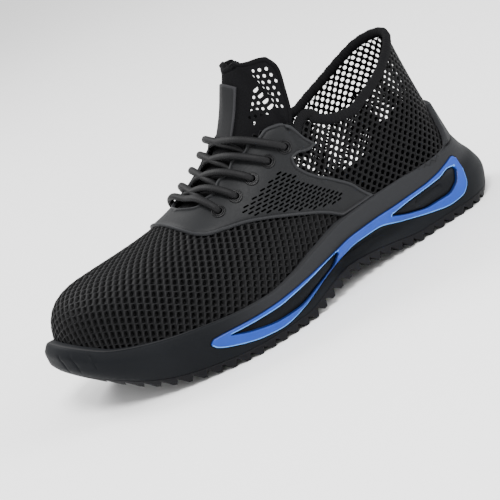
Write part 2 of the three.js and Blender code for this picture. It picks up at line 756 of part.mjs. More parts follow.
function upper() {
  const above = collarStrip(COLLAR[0].at, 0, LEG_HEIGHT);
  return lastLayer(0, -WALL).subtract(above).subtract(throatSlot(0, SLOT_STEP)).subtract(eyeletHoles());
}

function collarBinding() {
  return lastLayer(BINDING_PROUD, -WALL).intersect(collarStrip(BINDING_START, GAP, BINDING_HEIGHT));
}

function eyestay() {
  const outline = EYESTAY.map(({ along, up }) => [along * SOLE_LENGTH, up * COLLAR_HEIGHT]);
  const inside = grown(outline, -PIPING_WIDTH);
  const all = (shape) => sidePrism(shape, -BALL_WIDTH, BALL_WIDTH);
  const piping = lastLayer(GAP + EYESTAY_THICKNESS + PIPING_PROUD, GAP).intersect(all(outline)).subtract(all(inside));
  const plate = lastLayer(GAP + EYESTAY_THICKNESS, GAP).intersect(all(outline));
  const clear = heightBlock(() => -FOOTBED_HEIGHT, (at) => rim(at) + GAP);
  return plate.add(piping).subtract(clear).subtract(throatSlot(SCALLOP, 0)).subtract(eyeletHoles());
}

function tongue() {
  const outline = TONGUE.map(({ along, up }) => [along * SOLE_LENGTH, up * LEG_HEIGHT]);
  const outer = -WALL - GAP;
  return lastLayer(outer, outer - TONGUE_THICKNESS).intersect(sidePrism(outline, -BALL_WIDTH, BALL_WIDTH));
}

function tongueTab() {
  const outer = -WALL - GAP;
  const [front, high] = [-SOLE_LENGTH / 2, TAB_LOW + TAB_LENGTH];
  const outline = [[front, TAB_LOW], [TAB_DEPTH, TAB_LOW], [TAB_DEPTH, high], [front, high]];
  return lastLayer(outer + GAP + TAB_THICKNESS, outer + GAP).intersect(sidePrism(outline, -TAB_WIDTH / 2, TAB_WIDTH / 2));
}

// Eyelets and lace.
function eyeletPlace(row, side) {
  const { at, spread, forward } = EYELETS[row];
  const edge = (1 - throatCurve(at - forward) / spread) / 2;
  return { ...placeOnLast(side, at * SOLE_LENGTH, spread * BALL_WIDTH), forward, edge };
}

function onEyelet(geometry, row, side) {
  const { at, rise } = eyeletPlace(row, side);
  const turn = turnOf(at, side);
  const spin = new THREE.Quaternion().setFromUnitVectors(new THREE.Vector3(0, 1, 0), lastNormal(turn, rise));
  return solidFrom(geometry.applyQuaternion(spin).translate(...lastPoint(turn, rise).toArray()));
}

function eyelet(row, side) {
  const end = EYELET_SEAT - WALL;
  const seat = GAP + EYESTAY_THICKNESS + EYELET_SEAT;
  const profile = [
    [EYELET_BORE, end],
    [EYELET_BARREL, end],
    [EYELET_BARREL, seat],
    [EYELET_FLANGE, seat],
    [EYELET_FLANGE, seat + EYELET_LIP],
    [EYELET_BORE, seat + EYELET_LIP],
    [EYELET_BORE, end],
  ].map(([radius, height]) => new THREE.Vector2(radius, height));
  return onEyelet(new THREE.LatheGeometry(profile, EYELET_SIDES), row, side);
}

function eyeletHoles() {
  const holes = [];
  for (const side of Object.values(SIDES)) {
    for (let row = 0; row < EYELETS.length; row += 1) {
      const drill = new THREE.CylinderGeometry(EYELET_BARREL + GAP, EYELET_BARREL + GAP, SIDE_FLARE, EYELET_SIDES);
      holes.push(onEyelet(drill, row, side));
    }
  }
  return holes.reduce((all, hole) => all.add(hole));
}

// Strand of lace over the last between two eyelet places, each end lying over its eyelet or stopping at the flap.
function strand(from, to, start, finish) {
  const reversed = finish.map(({ inward, up }) => ({ inward: 1 - inward, up })).reverse();
  const route = [...start, { inward: 0.5, up: LACE_CROWN }, ...reversed].map(({ inward, up }) => {
    const reach = mix(from.rise - 1, 1 - to.rise, inward);
    const forward = 2 * (from.forward + to.forward) * inward * (1 - inward);
    const side = reach < 0 ? from.side : to.side;
    return lastAt(turnOf(mix(from.at, to.at, inward) - forward, side), 1 - Math.abs(reach), up * LACE_LIFT);
  });
  const section = new THREE.Shape(Array.from({ length: LACE_SIDES }, (_, i) => {
    const angle = (2 * Math.PI * i) / LACE_SIDES;
    return new THREE.Vector2(Math.cos(angle) * LACE_RADIUS, Math.sin(angle) * LACE_RADIUS);
  }));
  const extrudePath = new THREE.CatmullRomCurve3(route);
  return solidFrom(new THREE.ExtrudeGeometry(section, { extrudePath, steps: LACE_STEPS, bevelEnabled: false }));
}

const frontBar = () => strand(eyeletPlace(0, -1), eyeletPlace(0, 1), LACE_OVER, LACE_OVER);

// Two strands that cross on the tongue: each comes over the flap at one row and ends at the edge of the other flap,
// one row further to the front.
function laceCross(row) {
  const tuck = ({ edge }) => LACE_TUCK.map(({ inward, up }) => ({ inward: inward + edge, up }));
  const [outer, inner] = Object.values(SIDES).map((side) => {
    const to = eyeletPlace(row, -side);
    return strand(eyeletPlace(row + 1, side), to, LACE_OVER, tuck(to));
  });
  return outer.add(inner);
}

add("outsole", outsole(), LOOKS.rubber);
add("midsole", midsole(), LOOKS.foam);
for (const [name, side] of Object.entries(SIDES)) add(`inlay_${name}`, inlay(side), LOOKS.inlay);
add("insole", insole(), LOOKS.lining);
add("upper", upper(), LOOKS.mesh);
add("eyestay", eyestay(), LOOKS.overlay);
add("tongue", tongue(), LOOKS.mesh);
add("tongue_tab", tongueTab(), LOOKS.label);
add("collar_binding", collarBinding(), LOOKS.lining);
for (const [name, side] of Object.entries(SIDES)) {
  for (let row = 0; row < EYELETS.length; row += 1) add(`eyelet_${name}_${row + 1}`, eyelet(row, side), LOOKS.eyelet);
}
add("lace_bar_front", frontBar(), LOOKS.lace);
for (let row = 0; row < EYELETS.length - 1; row += 1) add(`lace_cross_${row + 1}`, laceCross(row), LOOKS.lace);

// The origin is on the floor in the middle of the shoe's bounding box.
const box = new THREE.Box3().setFromObject(group);
const middle = box.getCenter(new THREE.Vector3());
for (const mesh of group.children) mesh.geometry.translate(-middle.x, -middle.y, -box.min.z);

export default group;
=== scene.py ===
# Looks of the low safety trainer: knitted upper, moulded eyestay, laces, foam sole with blue loops, toothed outsole.
# Shapes are worked out in millimetres in the shoe's own frame, before it was centred, and placed in metres.
import json
import math

import bmesh
import bpy
import numpy as np
from mathutils import Matrix, Vector, bvhtree, geometry


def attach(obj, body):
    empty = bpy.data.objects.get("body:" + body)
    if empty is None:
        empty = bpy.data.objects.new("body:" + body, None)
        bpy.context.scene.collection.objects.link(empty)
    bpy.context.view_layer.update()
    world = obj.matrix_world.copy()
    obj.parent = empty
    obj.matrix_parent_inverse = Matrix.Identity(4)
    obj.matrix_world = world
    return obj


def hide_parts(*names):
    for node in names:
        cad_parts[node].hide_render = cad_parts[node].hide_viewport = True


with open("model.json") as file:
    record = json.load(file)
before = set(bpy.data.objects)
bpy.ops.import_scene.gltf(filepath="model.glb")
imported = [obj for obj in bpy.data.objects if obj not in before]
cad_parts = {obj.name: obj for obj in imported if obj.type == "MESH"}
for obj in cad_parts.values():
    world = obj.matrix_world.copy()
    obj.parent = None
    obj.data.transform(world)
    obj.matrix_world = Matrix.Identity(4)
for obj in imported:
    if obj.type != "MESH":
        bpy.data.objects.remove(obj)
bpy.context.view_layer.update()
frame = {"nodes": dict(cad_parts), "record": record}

MM = 0.001
# What the part's last lines take away to put its box in the middle.
CENTRE = np.array([-0.14, 3.583, 0.0])

# Sole and last, as in the part's source.
SOLE_LENGTH = 306.0
BALL_WIDTH = 111.0
TOE_ROUND = 58.0
HEEL_ROUND = 42.0
TOE_POWER = 2.5
HEEL_POWER = 2.0
SIDE_HEIGHT = 42.0
SIDE_FLARE = 10.0
TOE_SPRING = 24.0
ARCH_RISE = 8.0
HEEL_BEVEL = 4.0
OUTSOLE_THICKNESS = 6.0
FOOTBED_HEIGHT = 31.0
LUG_PITCH = 8.4
LUG_DEPTH = 3.4
GROOVE_WIDTH = 5.4
FIRST_GROOVE = -0.46
LAST_GROOVE = 0.475
TOE_MARGIN = 9.0
HEEL_MARGIN = 16.0
SIDE_MARGIN = 6.0
WALL = 2.0
GAP = 0.3
INSTEP_HEIGHT = 80.0
LEG_HEIGHT = 150.0
LEG_WIDTH = 62.0
LEG_START = 0.6
LEG_BACK = 0.955
BULGE = 3.0
COLLAR_HEIGHT = 116.0
WALL_POWER = 1.8
RISE_LIMIT = 0.985
TANGENT_STEP = 0.002


def rows(names, *values):
    """Table with named columns, as one array per name."""
    return {name: np.array(column) for name, column in zip(names.split(), zip(*values))}


OUTLINE = rows(
    "at middle width",
    (0.0, 0.2, 0.74),
    (0.1, 0.145, 0.85),
    (0.2, 0.085, 0.94),
    (0.32, 0.022, 1.0),
    (0.42, 0.0, 0.97),
    (0.55, -0.009, 0.86),
    (0.68, -0.009, 0.76),
    (0.82, 0.0, 0.73),
    (1.0, 0.0, 0.72),
)
UNDERSIDE = rows(
    "at toe arch heel",
    (0.0, 1.0, 0, 0),
    (0.055, 0.62, 0, 0),
    (0.1, 0.35, 0, 0),
    (0.15, 0.17, 0, 0),
    (0.21, 0.06, 0, 0),
    (0.275, 0, 0, 0),
    (0.42, 0, 0, 0),
    (0.5, 0, 0.6, 0),
    (0.56, 0, 1.0, 0),
    (0.62, 0, 0.8, 0),
    (0.68, 0, 0.4, 0),
    (0.75, 0, 0, 0),
    (0.94, 0, 0, 0),
    (1.0, 0, 0, 1.0),
)
SOLE_TOP = rows(
    "at rim bed",
    (0.0, 1.14, 1.22),
    (0.03, 1.02, 1.13),
    (0.055, 0.93, 1.0),
    (0.1, 0.85, 0.82),
    (0.16, 0.78, 0.68),
    (0.22, 0.73, 0.62),
    (0.3, 0.69, 0.58),
    (0.36, 0.68, 0.59),
    (0.43, 0.75, 0.63),
    (0.5, 0.87, 0.73),
    (0.6, 0.99, 0.92),
    (0.7, 1.0, 1.0),
    (0.85, 0.97, 1.0),
    (1.0, 1.04, 1.0),
)
SIDE_STATIONS = np.array([0.0, 0.32, 0.58, 0.86, 1.0])
SIDE_SECTION = rows(
    "at toe ball arch heel back",
    (0.0, 1.1, 0.15, 0.4, 0.2, 0.7),
    (0.15, 0.65, 0.0, 0.5, 0.05, 0.25),
    (0.32, 0.3, 0.0, 0.9, 0.0, 0.1),
    (0.52, 0.1, 0.0, 0.1, 0.1, 0.4),
    (0.75, 0.1, 0.05, 0.0, 0.35, 1.0),
    (1.0, 0.45, 0.2, 0.15, 0.6, 1.5),
)
LAST = rows(
    "at fullness wall bulge",
    (0.0, 2.7, 0, 0.1),
    (0.1, 2.6, 0, 0.4),
    (0.3, 2.3, 0, 0.8),
    (0.42, 2.1, 0, 0.6),
    (0.5, 2.1, 0.02, 0.5),
    (0.55, 2.2, 0.08, 0.5),
    (0.6, 2.4, 0.2, 0.6),
    (0.7, 2.4, 0.7, 0.9),
    (0.8, 2.4, 1, 1),
    (0.92, 2.4, 1, 0.8),
    (1.0, 2.4, 1, 0),
)
RIDGE = rows(
    "at along up",
    (0.0, 0.115, 0.9),
    (0.05, 0.13, 0.915),
    (0.1, 0.155, 0.925),
    (0.2, 0.223, 0.955),
    (0.3, 0.304, 1.01),
    (0.4, 0.4, 1.14),
    (0.47, 0.47, 1.3),
    (0.53, 0.515, 1.52),
    (0.6, 0.56, 1.875),
)
INLAY = rows(
    "at low high",
    (-0.277, 0.45, 0.47),
    (-0.268, 0.38, 0.52),
    (-0.235, 0.29, 0.53),
    (-0.185, 0.21, 0.53),
    (-0.135, 0.18, 0.54),
    (-0.09, 0.22, 0.57),
    (-0.035, 0.32, 0.62),
    (0.026, 0.47, 0.68),
    (0.085, 0.58, 0.73),
    (0.147, 0.57, 0.73),
    (0.21, 0.43, 0.72),
    (0.285, 0.29, 0.72),
    (0.33, 0.24, 0.75),
    (0.36, 0.26, 0.8),
    (0.385, 0.38, 0.84),
    (0.395, 0.6, 0.78),
)
FRONT_HOLE = rows(
    "at low high",
    (-0.236, 0.46, 0.465),
    (-0.2, 0.38, 0.465),
    (-0.135, 0.3, 0.47),
    (-0.09, 0.29, 0.51),
    (-0.035, 0.38, 0.575),
    (0.01, 0.47, 0.635),
    (0.035, 0.62, 0.66),
)
REAR_HOLE = rows(
    "at low high",
    (0.19, 0.605, 0.62),
    (0.235, 0.48, 0.645),
    (0.285, 0.4, 0.655),
    (0.33, 0.4, 0.67),
    (0.36, 0.48, 0.72),
    (0.377, 0.63, 0.7),
)
COLLAR = rows(
    "at up",
    (0.016, 0.925),
    (0.05, 0.93),
    (0.08, 0.9),
    (0.1, 0.875),
    (0.128, 0.85),
    (0.15, 0.815),
    (0.177, 0.79),
    (0.212, 0.78),
    (0.25, 0.81),
    (0.3, 0.86),
    (0.35, 0.925),
    (0.39, 0.98),
    (0.42, 1.0),
    (0.5, 1.0),
)
THROAT = rows(
    "at half",
    (-0.155, 0.13),
    (-0.13, 0.145),
    (-0.072, 0.147),
    (-0.03, 0.173),
    (0.006, 0.212),
    (0.05, 0.238),
)
EYELETS = rows(
    "at spread forward",
    (-0.124, 0.25, 0.01),
    (-0.082, 0.262, 0.018),
    (-0.039, 0.272, 0.03),
    (0.004, 0.287, 0.046),
    (0.045, 0.3, 0.062),
)


def curve(table, column):
    """Smooth monotone curve through one column of a table."""
    x = table["at"]
    y = np.asarray(table[column], float)
    slope = np.diff(y) / np.diff(x)
    tangent = np.zeros(len(x))
    tangent[0] = slope[0]
    tangent[-1] = slope[-1]
    before = slope[:-1]
    after = slope[1:]
    same = before * after > 0
    total = np.where(same, before + after, 1.0)
    tangent[1:-1] = np.where(same, 2 * before * after / total, 0.0)

    def value(at):
        place = np.clip(at, x[0], x[-1])
        i = np.clip(np.searchsorted(x, place, side="right") - 1, 0, len(x) - 2)
        span = x[i + 1] - x[i]
        t = (place - x[i]) / span
        low = (1 + 2 * t) * (1 - t) ** 2 * y[i] + t * (1 - t) ** 2 * span * tangent[i]
        return low + t * t * (3 - 2 * t) * y[i + 1] - t * t * (1 - t) * span * tangent[i + 1]

    return value


def mix(a, b, share):
    return a + (b - a) * share


def smooth(low, high, value):
    t = np.clip((value - low) / (high - low), 0, 1)
    return t * t * (3 - 2 * t)


def station_of(turn):
    return (1 - np.cos(np.pi * turn)) / 2


def side_of(turn):
    return np.where(np.mod(turn, 2) > 1, 1.0, -1.0)


def turn_of(at, side):
    turn = np.arccos(1 - 2 * np.clip(at, 0, 1)) / np.pi
    return np.where(np.asarray(side) < 0, turn, 2 - turn)


toe_share = curve(UNDERSIDE, "toe")
arch_share = curve(UNDERSIDE, "arch")
heel_share = curve(UNDERSIDE, "heel")
rim_share = curve(SOLE_TOP, "rim")
bed_share = curve(SOLE_TOP, "bed")
outline_middle = curve(OUTLINE, "middle")
outline_width = curve(OUTLINE, "width")
collar_share = curve(COLLAR, "up")
throat_share = curve(THROAT, "half")


def sole_station(x):
    return x / SOLE_LENGTH + 0.5


def underside(at):
    return toe_share(at) * TOE_SPRING + arch_share(at) * ARCH_RISE + heel_share(at) * HEEL_BEVEL


def rim(at):
    return rim_share(at) * SIDE_HEIGHT


def footbed(at):
    return bed_share(at) * FOOTBED_HEIGHT


def parting(at):
    return underside(at) + OUTSOLE_THICKNESS


def collar_line(x):
    return collar_share(x / SOLE_LENGTH) * COLLAR_HEIGHT


def sole_middle(at):
    return outline_middle(at) * BALL_WIDTH


def sole_half(at):
    return outline_width(at) * BALL_WIDTH / 2


UPPER_LENGTH = SOLE_LENGTH - TOE_MARGIN - HEEL_MARGIN


def upper_x(at):
    return TOE_MARGIN - SOLE_LENGTH / 2 + at * UPPER_LENGTH


def rounding(distance, reach, power):
    rest = 1 - np.clip(distance / reach, 0, 1)
    return (1 - rest**power) ** (1 / power)


def sole_plan(turn):
    """Closed outline of the sole seen from above."""
    at = station_of(turn)
    run = at * SOLE_LENGTH
    ends = rounding(run, TOE_ROUND, TOE_POWER) * rounding(SOLE_LENGTH - run, HEEL_ROUND, HEEL_POWER)
    return np.stack([run - SOLE_LENGTH / 2, sole_middle(at) + side_of(turn) * sole_half(at) * ends], -1)


def upper_plan(turn):
    """Closed outline of the last seen from above."""
    at = station_of(turn)
    run = at * UPPER_LENGTH
    toe = rounding(run, TOE_ROUND - TOE_MARGIN / 2, TOE_POWER)
    heel = rounding(UPPER_LENGTH - run, HEEL_ROUND - HEEL_MARGIN / 2, HEEL_POWER)
    station = sole_station(upper_x(at))
    half = sole_half(station) - SIDE_MARGIN
    return np.stack([upper_x(0) + run, sole_middle(station) + side_of(turn) * half * toe * heel], -1)


def plan_normal(plan, turn):
    tangent = plan(turn + TANGENT_STEP) - plan(turn - TANGENT_STEP)
    tangent /= np.linalg.norm(tangent, axis=-1, keepdims=True)
    return np.stack([tangent[..., 1], -tangent[..., 0]], -1)


section_curves = [curve(SIDE_SECTION, name) for name in ("toe", "ball", "arch", "heel", "back")]


def setback(share, at):
    """How far the side of the sole stands back from its plan."""
    values = np.stack([column(share) for column in section_curves], -1)
    slope = np.diff(values, axis=-1) / np.diff(SIDE_STATIONS)
    tangent = np.zeros_like(values)
    tangent[..., 0] = slope[..., 0]
    tangent[..., -1] = slope[..., -1]
    same = slope[..., :-1] * slope[..., 1:] > 0
    total = np.where(same, slope[..., :-1] + slope[..., 1:], 1.0)
    tangent[..., 1:-1] = np.where(same, 2 * slope[..., :-1] * slope[..., 1:] / total, 0.0)
    i = np.clip(np.searchsorted(SIDE_STATIONS, at, side="right") - 1, 0, len(SIDE_STATIONS) - 2)
    span = SIDE_STATIONS[i + 1] - SIDE_STATIONS[i]
    t = (at - SIDE_STATIONS[i]) / span
    pick = lambda table, k: np.take_along_axis(table, k[..., None], -1)[..., 0]
    low = (1 + 2 * t) * (1 - t) ** 2 * pick(values, i) + t * (1 - t) ** 2 * span * pick(tangent, i)
    high = t * t * (3 - 2 * t) * pick(values, i + 1) - t * t * (1 - t) * span * pick(tangent, i + 1)
    return (low + high) * SIDE_FLARE


def sole_side(turn, height, margin=0.0):
    """Point on the side of the sole at a height, moved out by a margin."""
    at = station_of(turn)
    share = (height - underside(at)) / (rim(at) - underside(at))
    out = plan_normal(sole_plan, turn) * (margin - setback(share, at))[..., None]
    place = sole_plan(turn) + out
    return np.stack([place[..., 0], place[..., 1], height + np.zeros_like(at)], -1)


fullness = curve(LAST, "fullness")
wall_share = curve(LAST, "wall")
bulge_share = curve(LAST, "bulge")
ridge_along = curve(RIDGE, "along")
ridge_up = curve(RIDGE, "up")


def crown_point(turn):
    at = station_of(turn)
    middle = sole_middle(sole_station(upper_x(at)))
    share = np.clip((at - LEG_START) / (1 - LEG_START), 0, 1)
    half = LEG_WIDTH * np.sqrt(share * (1 - share))
    leg = at > LEG_START
    along = np.where(leg, mix(ridge_along(LEG_START), LEG_BACK, share), ridge_along(at))
    up = np.where(leg, LEG_HEIGHT, ridge_up(at) * INSTEP_HEIGHT)
    return np.stack([upper_x(along), middle + np.where(leg, side_of(turn) * half, 0.0), up], -1)


def last_point(turn, rise):
    """Point of the last: rise is 0 at the footbed and 1 at the ridge or at the top of the leg."""
    turn, rise = np.broadcast_arrays(np.asarray(turn, float), np.asarray(rise, float))
    at = station_of(turn)
    foot = upper_plan(turn)
    crown = crown_point(turn)
    angle = rise * np.pi / 2
    power = 2 / fullness(at)
    spread = mix(np.cos(angle) ** power, (1 - rise) ** WALL_POWER, wall_share(at))
    climb = mix(np.sin(angle) ** power, rise, wall_share(at))
    bulge = bulge_share(at) * BULGE * np.sin(np.pi * np.sqrt(rise))
    out = plan_normal(upper_plan, turn) * bulge[..., None]
    bed = footbed(sole_station(foot[..., 0]))
    return np.stack([
        mix(crown[..., 0], foot[..., 0], spread) + out[..., 0],
        mix(crown[..., 1], foot[..., 1], spread) + out[..., 1],
        mix(bed, crown[..., 2], climb),
    ], -1)


def last_normal(turn, rise):
    turn, rise = np.broadcast_arrays(np.asarray(turn, float), np.asarray(rise, float))
    place = np.minimum(rise, RISE_LIMIT)
    along = last_point(turn + TANGENT_STEP, place) - last_point(turn - TANGENT_STEP, place)
    up = last_point(turn, place + TANGENT_STEP) - last_point(turn, np.maximum(place - TANGENT_STEP, 0))
    normal = np.cross(along, up)
    ridge = smooth(LEG_START + 0.02, LEG_START, station_of(turn)) * smooth(0.9, 1.0, rise)
    normal[..., 1] *= 1 - ridge
    return normal / np.linalg.norm(normal, axis=-1, keepdims=True)


def last_at(turn, rise, offset):
    return last_point(turn, rise) + last_normal(turn, rise) * np.asarray(offset)[..., None]


def place_on_last(side, x, spread):
    """Turn and rise of the place above a point of the plan, at a distance from the middle line, by halving."""
    at = (x - upper_x(0)) / UPPER_LENGTH
    for _ in range(24):
        low, high = 0.0, 1.0
        for _ in range(24):
            rise = (low + high) / 2
            middle = sole_middle(sole_station(upper_x(at)))
            if abs(last_point(turn_of(at, side), rise)[1] - middle) > spread:
                low = rise
            else:
                high = rise
        at += (x - last_point(turn_of(at, side), rise)[0]) / UPPER_LENGTH
    return float(at), float(rise)


# Flat pattern of the upper, in millimetres, by Blender's own least stretch unwrap of the last's surface.
COLUMNS = 142
LEVELS = 36


def flat_pattern():
    turn = np.linspace(-1, 1, COLUMNS + 1)
    rise = np.linspace(0, 1, LEVELS + 1)
    points = last_point(turn[:, None], rise[None, :])
    number = np.arange(points[..., 0].size).reshape(points.shape[:2])
    # Both sides share the points of the ridge.
    ridge = station_of(turn) <= LEG_START
    for i in np.where(ridge)[0]:
        number[i, -1] = number[max(i, COLUMNS - i), -1]
    mesh = bpy.data.meshes.new("pattern")
    faces = []
    for i in range(COLUMNS):
        for j in range(LEVELS):
            corners = (number[i, j], number[i + 1, j], number[i + 1, j + 1], number[i, j + 1])
            faces.append(tuple(dict.fromkeys(int(corner) for corner in corners)))
    mesh.from_pydata(points.reshape(-1, 3).tolist(), [], [face for face in faces if len(face) > 2])
    mesh.uv_layers.new(name="flat")
    thing = bpy.data.objects.new("pattern", mesh)
    bpy.context.collection.objects.link(thing)
    bpy.context.view_layer.objects.active = thing
    thing.select_set(True)
    bpy.ops.object.mode_set(mode="EDIT")
    bpy.ops.mesh.select_all(action="SELECT")
    bpy.ops.uv.unwrap(method="MINIMUM_STRETCH", iterations=40, margin=0, correct_aspect=False)
    bpy.ops.object.mode_set(mode="OBJECT")
    flat = np.zeros((points[..., 0].size, 2))
    for loop, uv in zip(mesh.loops, mesh.uv_layers[0].data):
        flat[loop.vertex_index] = uv.uv
    bpy.data.objects.remove(thing)
    bpy.data.meshes.remove(mesh)
    flat = flat[number]
    real = np.linalg.norm(points[1:, :-1] - points[:-1, :-1], axis=-1).sum()
    flat *= real / np.linalg.norm(flat[1:, :-1] - flat[:-1, :-1], axis=-1).sum()
    # The ridge runs along the pattern's own x axis, the outer side lies below it.
    front = flat[COLUMNS // 2, -1]
    back = flat[np.where(ridge)[0][-1], -1]
    length = np.linalg.norm(back - front)
    cosine, sine = (back - front) / length
    flat = (flat - front) @ np.array([[cosine, -sine], [sine, cosine]])
    outer = flat[COLUMNS * 3 // 4, 0, 1]
    flat[..., 1] *= -np.sign(outer)
    return turn, rise, flat


PATTERN_TURN, PATTERN_RISE, PATTERN = flat_pattern()


def pattern_tree():
    """Search tree over the pattern's triangles, with the corners of each triangle."""
    corners = []
    for i in range(COLUMNS):
        for j in range(LEVELS):
            corners.append(((i, j), (i + 1, j), (i + 1, j + 1)))
            corners.append(((i, j), (i + 1, j + 1), (i, j + 1)))
    points = [Vector((x, y, 0)) for x, y in PATTERN.reshape(-1, 2)]
    index = [[i * (LEVELS + 1) + j for i, j in three] for three in corners]
    return bvhtree.BVHTree.FromPolygons(points, index), np.array(corners)


TREE, CORNERS = pattern_tree()
REACH = 1.0


def unflat(flat):
    """Turn and rise of places of the flat pattern, and whether each lies on it."""
    flat = np.asarray(flat, float)
    found = [TREE.find_nearest(Vector((x, y, 0))) for x, y in flat]
    good = np.array([hit[3] < REACH for hit in found])
    three = CORNERS[[hit[2] for hit in found]]
    a, b, c = (PATTERN[three[:, k, 0], three[:, k, 1]] for k in range(3))
    spot = np.array([hit[0][:2] for hit in found])
    cross = lambda one, two: one[:, 0] * two[:, 1] - one[:, 1] * two[:, 0]
    area = cross(b - a, c - a)
    area = np.where(np.abs(area) < 1e-9, 1e-9, area)
    share_b = cross(spot - a, c - a) / area
    share_c = cross(b - a, spot - a) / area
    share_a = 1 - share_b - share_c
    turn = PATTERN_TURN[three[:, :, 0]]
    rise = PATTERN_RISE[three[:, :, 1]]
    weights = np.stack([share_a, share_b, share_c], 1)
    return (turn * weights).sum(1), np.clip((rise * weights).sum(1), 0, 1), good


def flatten(turn, rise):
    """Place on the flat pattern of a turn and a rise of the last."""
    turn = np.where(turn > 1, turn - 2, turn)
    column = np.clip((turn + 1) / 2 * COLUMNS, 0, COLUMNS - 1e-6)
    level = np.clip(rise * LEVELS, 0, LEVELS - 1e-6)
    i, j = column.astype(int), level.astype(int)
    a, b = (column - i)[..., None], (level - j)[..., None]
    low = mix(PATTERN[i, j], PATTERN[i + 1, j], a)
    return mix(low, mix(PATTERN[i, j + 1], PATTERN[i + 1, j + 1], a), b)


def find_on_last(first, second, side, axes):
    """Turn and rise of places given by two coordinates, by Newton steps from a coarse search."""
    goal = np.stack([np.atleast_1d(first), np.atleast_1d(second)], -1).astype(float)
    at, rise = np.meshgrid(np.linspace(0.01, 0.99, 110), np.linspace(0.02, 0.995, 60), indexing="ij")
    seen = last_point(turn_of(at, side), rise)[..., axes]
    distance = ((seen[None] - goal[:, None, None]) ** 2).sum(-1)
    best = distance.reshape(len(goal), -1).argmin(1)
    at, rise = at.reshape(-1)[best], rise.reshape(-1)[best]
    step = 1e-4
    for _ in range(14):
        here = last_point(turn_of(at, side), rise)[..., axes]
        by_at = (last_point(turn_of(at + step, side), rise)[..., axes] - here) / step
        by_rise = (here - last_point(turn_of(at, side), rise - step)[..., axes]) / step
        miss = goal - here
        area = by_at[:, 0] * by_rise[:, 1] - by_at[:, 1] * by_rise[:, 0]
        area = np.where(np.abs(area) < 1e-3, 1e-3, area)
        move_at = (miss[:, 0] * by_rise[:, 1] - miss[:, 1] * by_rise[:, 0]) / area
        move_rise = (by_at[:, 0] * miss[:, 1] - by_at[:, 1] * miss[:, 0]) / area
        at = np.clip(at + np.clip(move_at, -0.02, 0.02), 0.001, 0.999)
        rise = np.clip(rise + np.clip(move_rise, -0.04, 0.04), 0.0, 1.0)
    return turn_of(at, side), rise


SIDE_VIEW = [0, 2]
PLAN_VIEW = [0, 1]


# Making of pieces: everything is built in millimetres and placed in metres.
def to_scene(points):
    return (np.asarray(points, float) - CENTRE) * MM


def make(name, points, faces, material, replaced=(), smooth_faces=True):
    mesh = bpy.data.meshes.new(name)
    mesh.from_pydata(to_scene(points).tolist(), [], [tuple(int(i) for i in face) for face in faces])
    mesh.materials.append(material)
    mesh.validate()
    mesh.shade_smooth() if smooth_faces else mesh.shade_flat()
    piece = bpy.data.objects.new(name, mesh)
    bpy.context.collection.objects.link(piece)
    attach(piece, "root")
    if replaced:
        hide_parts(*replaced)
    return piece


def shader(name):
    """New material with its node tree, links and main shader."""
    material = bpy.data.materials.new(name)
    material.use_nodes = True
    return material, material.node_tree, material.node_tree.nodes["Principled BSDF"]


def painted(tree, under, attribute, low, high, color):
    """Colour laid over another where a value kept on the mesh goes from low to high."""
    source = tree.nodes.new("ShaderNodeAttribute")
    source.attribute_name = attribute
    share = tree.nodes.new("ShaderNodeMapRange")
    share.interpolation_type = "SMOOTHSTEP"
    share.inputs["From Min"].default_value = low
    share.inputs["From Max"].default_value = high
    tree.links.new(source.outputs["Fac"], share.inputs["Value"])
    blend = tree.nodes.new("ShaderNodeMix")
    blend.data_type = "RGBA"
    tree.links.new(share.outputs["Result"], blend.inputs["Factor"])
    tree.links.new(under, blend.inputs["A"])
    blend.inputs["B"].default_value = [*color, 1]
    return blend.outputs["Result"]


def simple_material(name, color, roughness, grain=600.0, strength=0.2, shine=0.2, sheen=0.0, spread=0.25, layers=()):
    """Moulded or woven surface with fine grain in bump, roughness and colour."""
    material, tree, main = shader(name)
    nodes, links = tree.nodes, tree.links
    place = nodes.new("ShaderNodeTexCoord")
    noise = nodes.new("ShaderNodeTexNoise")
    noise.inputs["Scale"].default_value = grain
    noise.inputs["Detail"].default_value = 4
    links.new(place.outputs["Object"], noise.inputs["Vector"])
    cloud = nodes.new("ShaderNodeTexNoise")
    cloud.inputs["Scale"].default_value = 35
    cloud.inputs["Detail"].default_value = 3
    links.new(place.outputs["Object"], cloud.inputs["Vector"])
    tint = nodes.new("ShaderNodeMix")
    tint.data_type = "RGBA"
    links.new(cloud.outputs["Fac"], tint.inputs["Factor"])
    tint.inputs["A"].default_value = [c * (1 - spread) for c in color] + [1]
    tint.inputs["B"].default_value = [c * (1 + spread) for c in color] + [1]
    result = tint.outputs["Result"]
    for attribute, low, high, over in layers:
        result = painted(tree, result, attribute, low, high, over)
    links.new(result, main.inputs["Base Color"])
    rough = nodes.new("ShaderNodeMapRange")
    rough.inputs["To Min"].default_value = roughness - 0.08
    rough.inputs["To Max"].default_value = roughness + 0.08
    links.new(noise.outputs["Fac"], rough.inputs["Value"])
    links.new(rough.outputs["Result"], main.inputs["Roughness"])
    bump = nodes.new("ShaderNodeBump")
    bump.inputs["Strength"].default_value = strength
    bump.inputs["Distance"].default_value = 0.0004
    links.new(noise.outputs["Fac"], bump.inputs["Height"])
    links.new(bump.outputs["Normal"], main.inputs["Normal"])
    main.inputs["Specular IOR Level"].default_value = shine
    main.inputs["Sheen Weight"].default_value = sheen
    main.inputs["Sheen Roughness"].default_value = 0.5
    return material


FLOOR_SIZE = 12.0


def floor_material():
    return simple_material("floor", (0.97, 0.97, 0.97), 0.9, grain=80, strength=0.02, shine=0.0, spread=0.01)


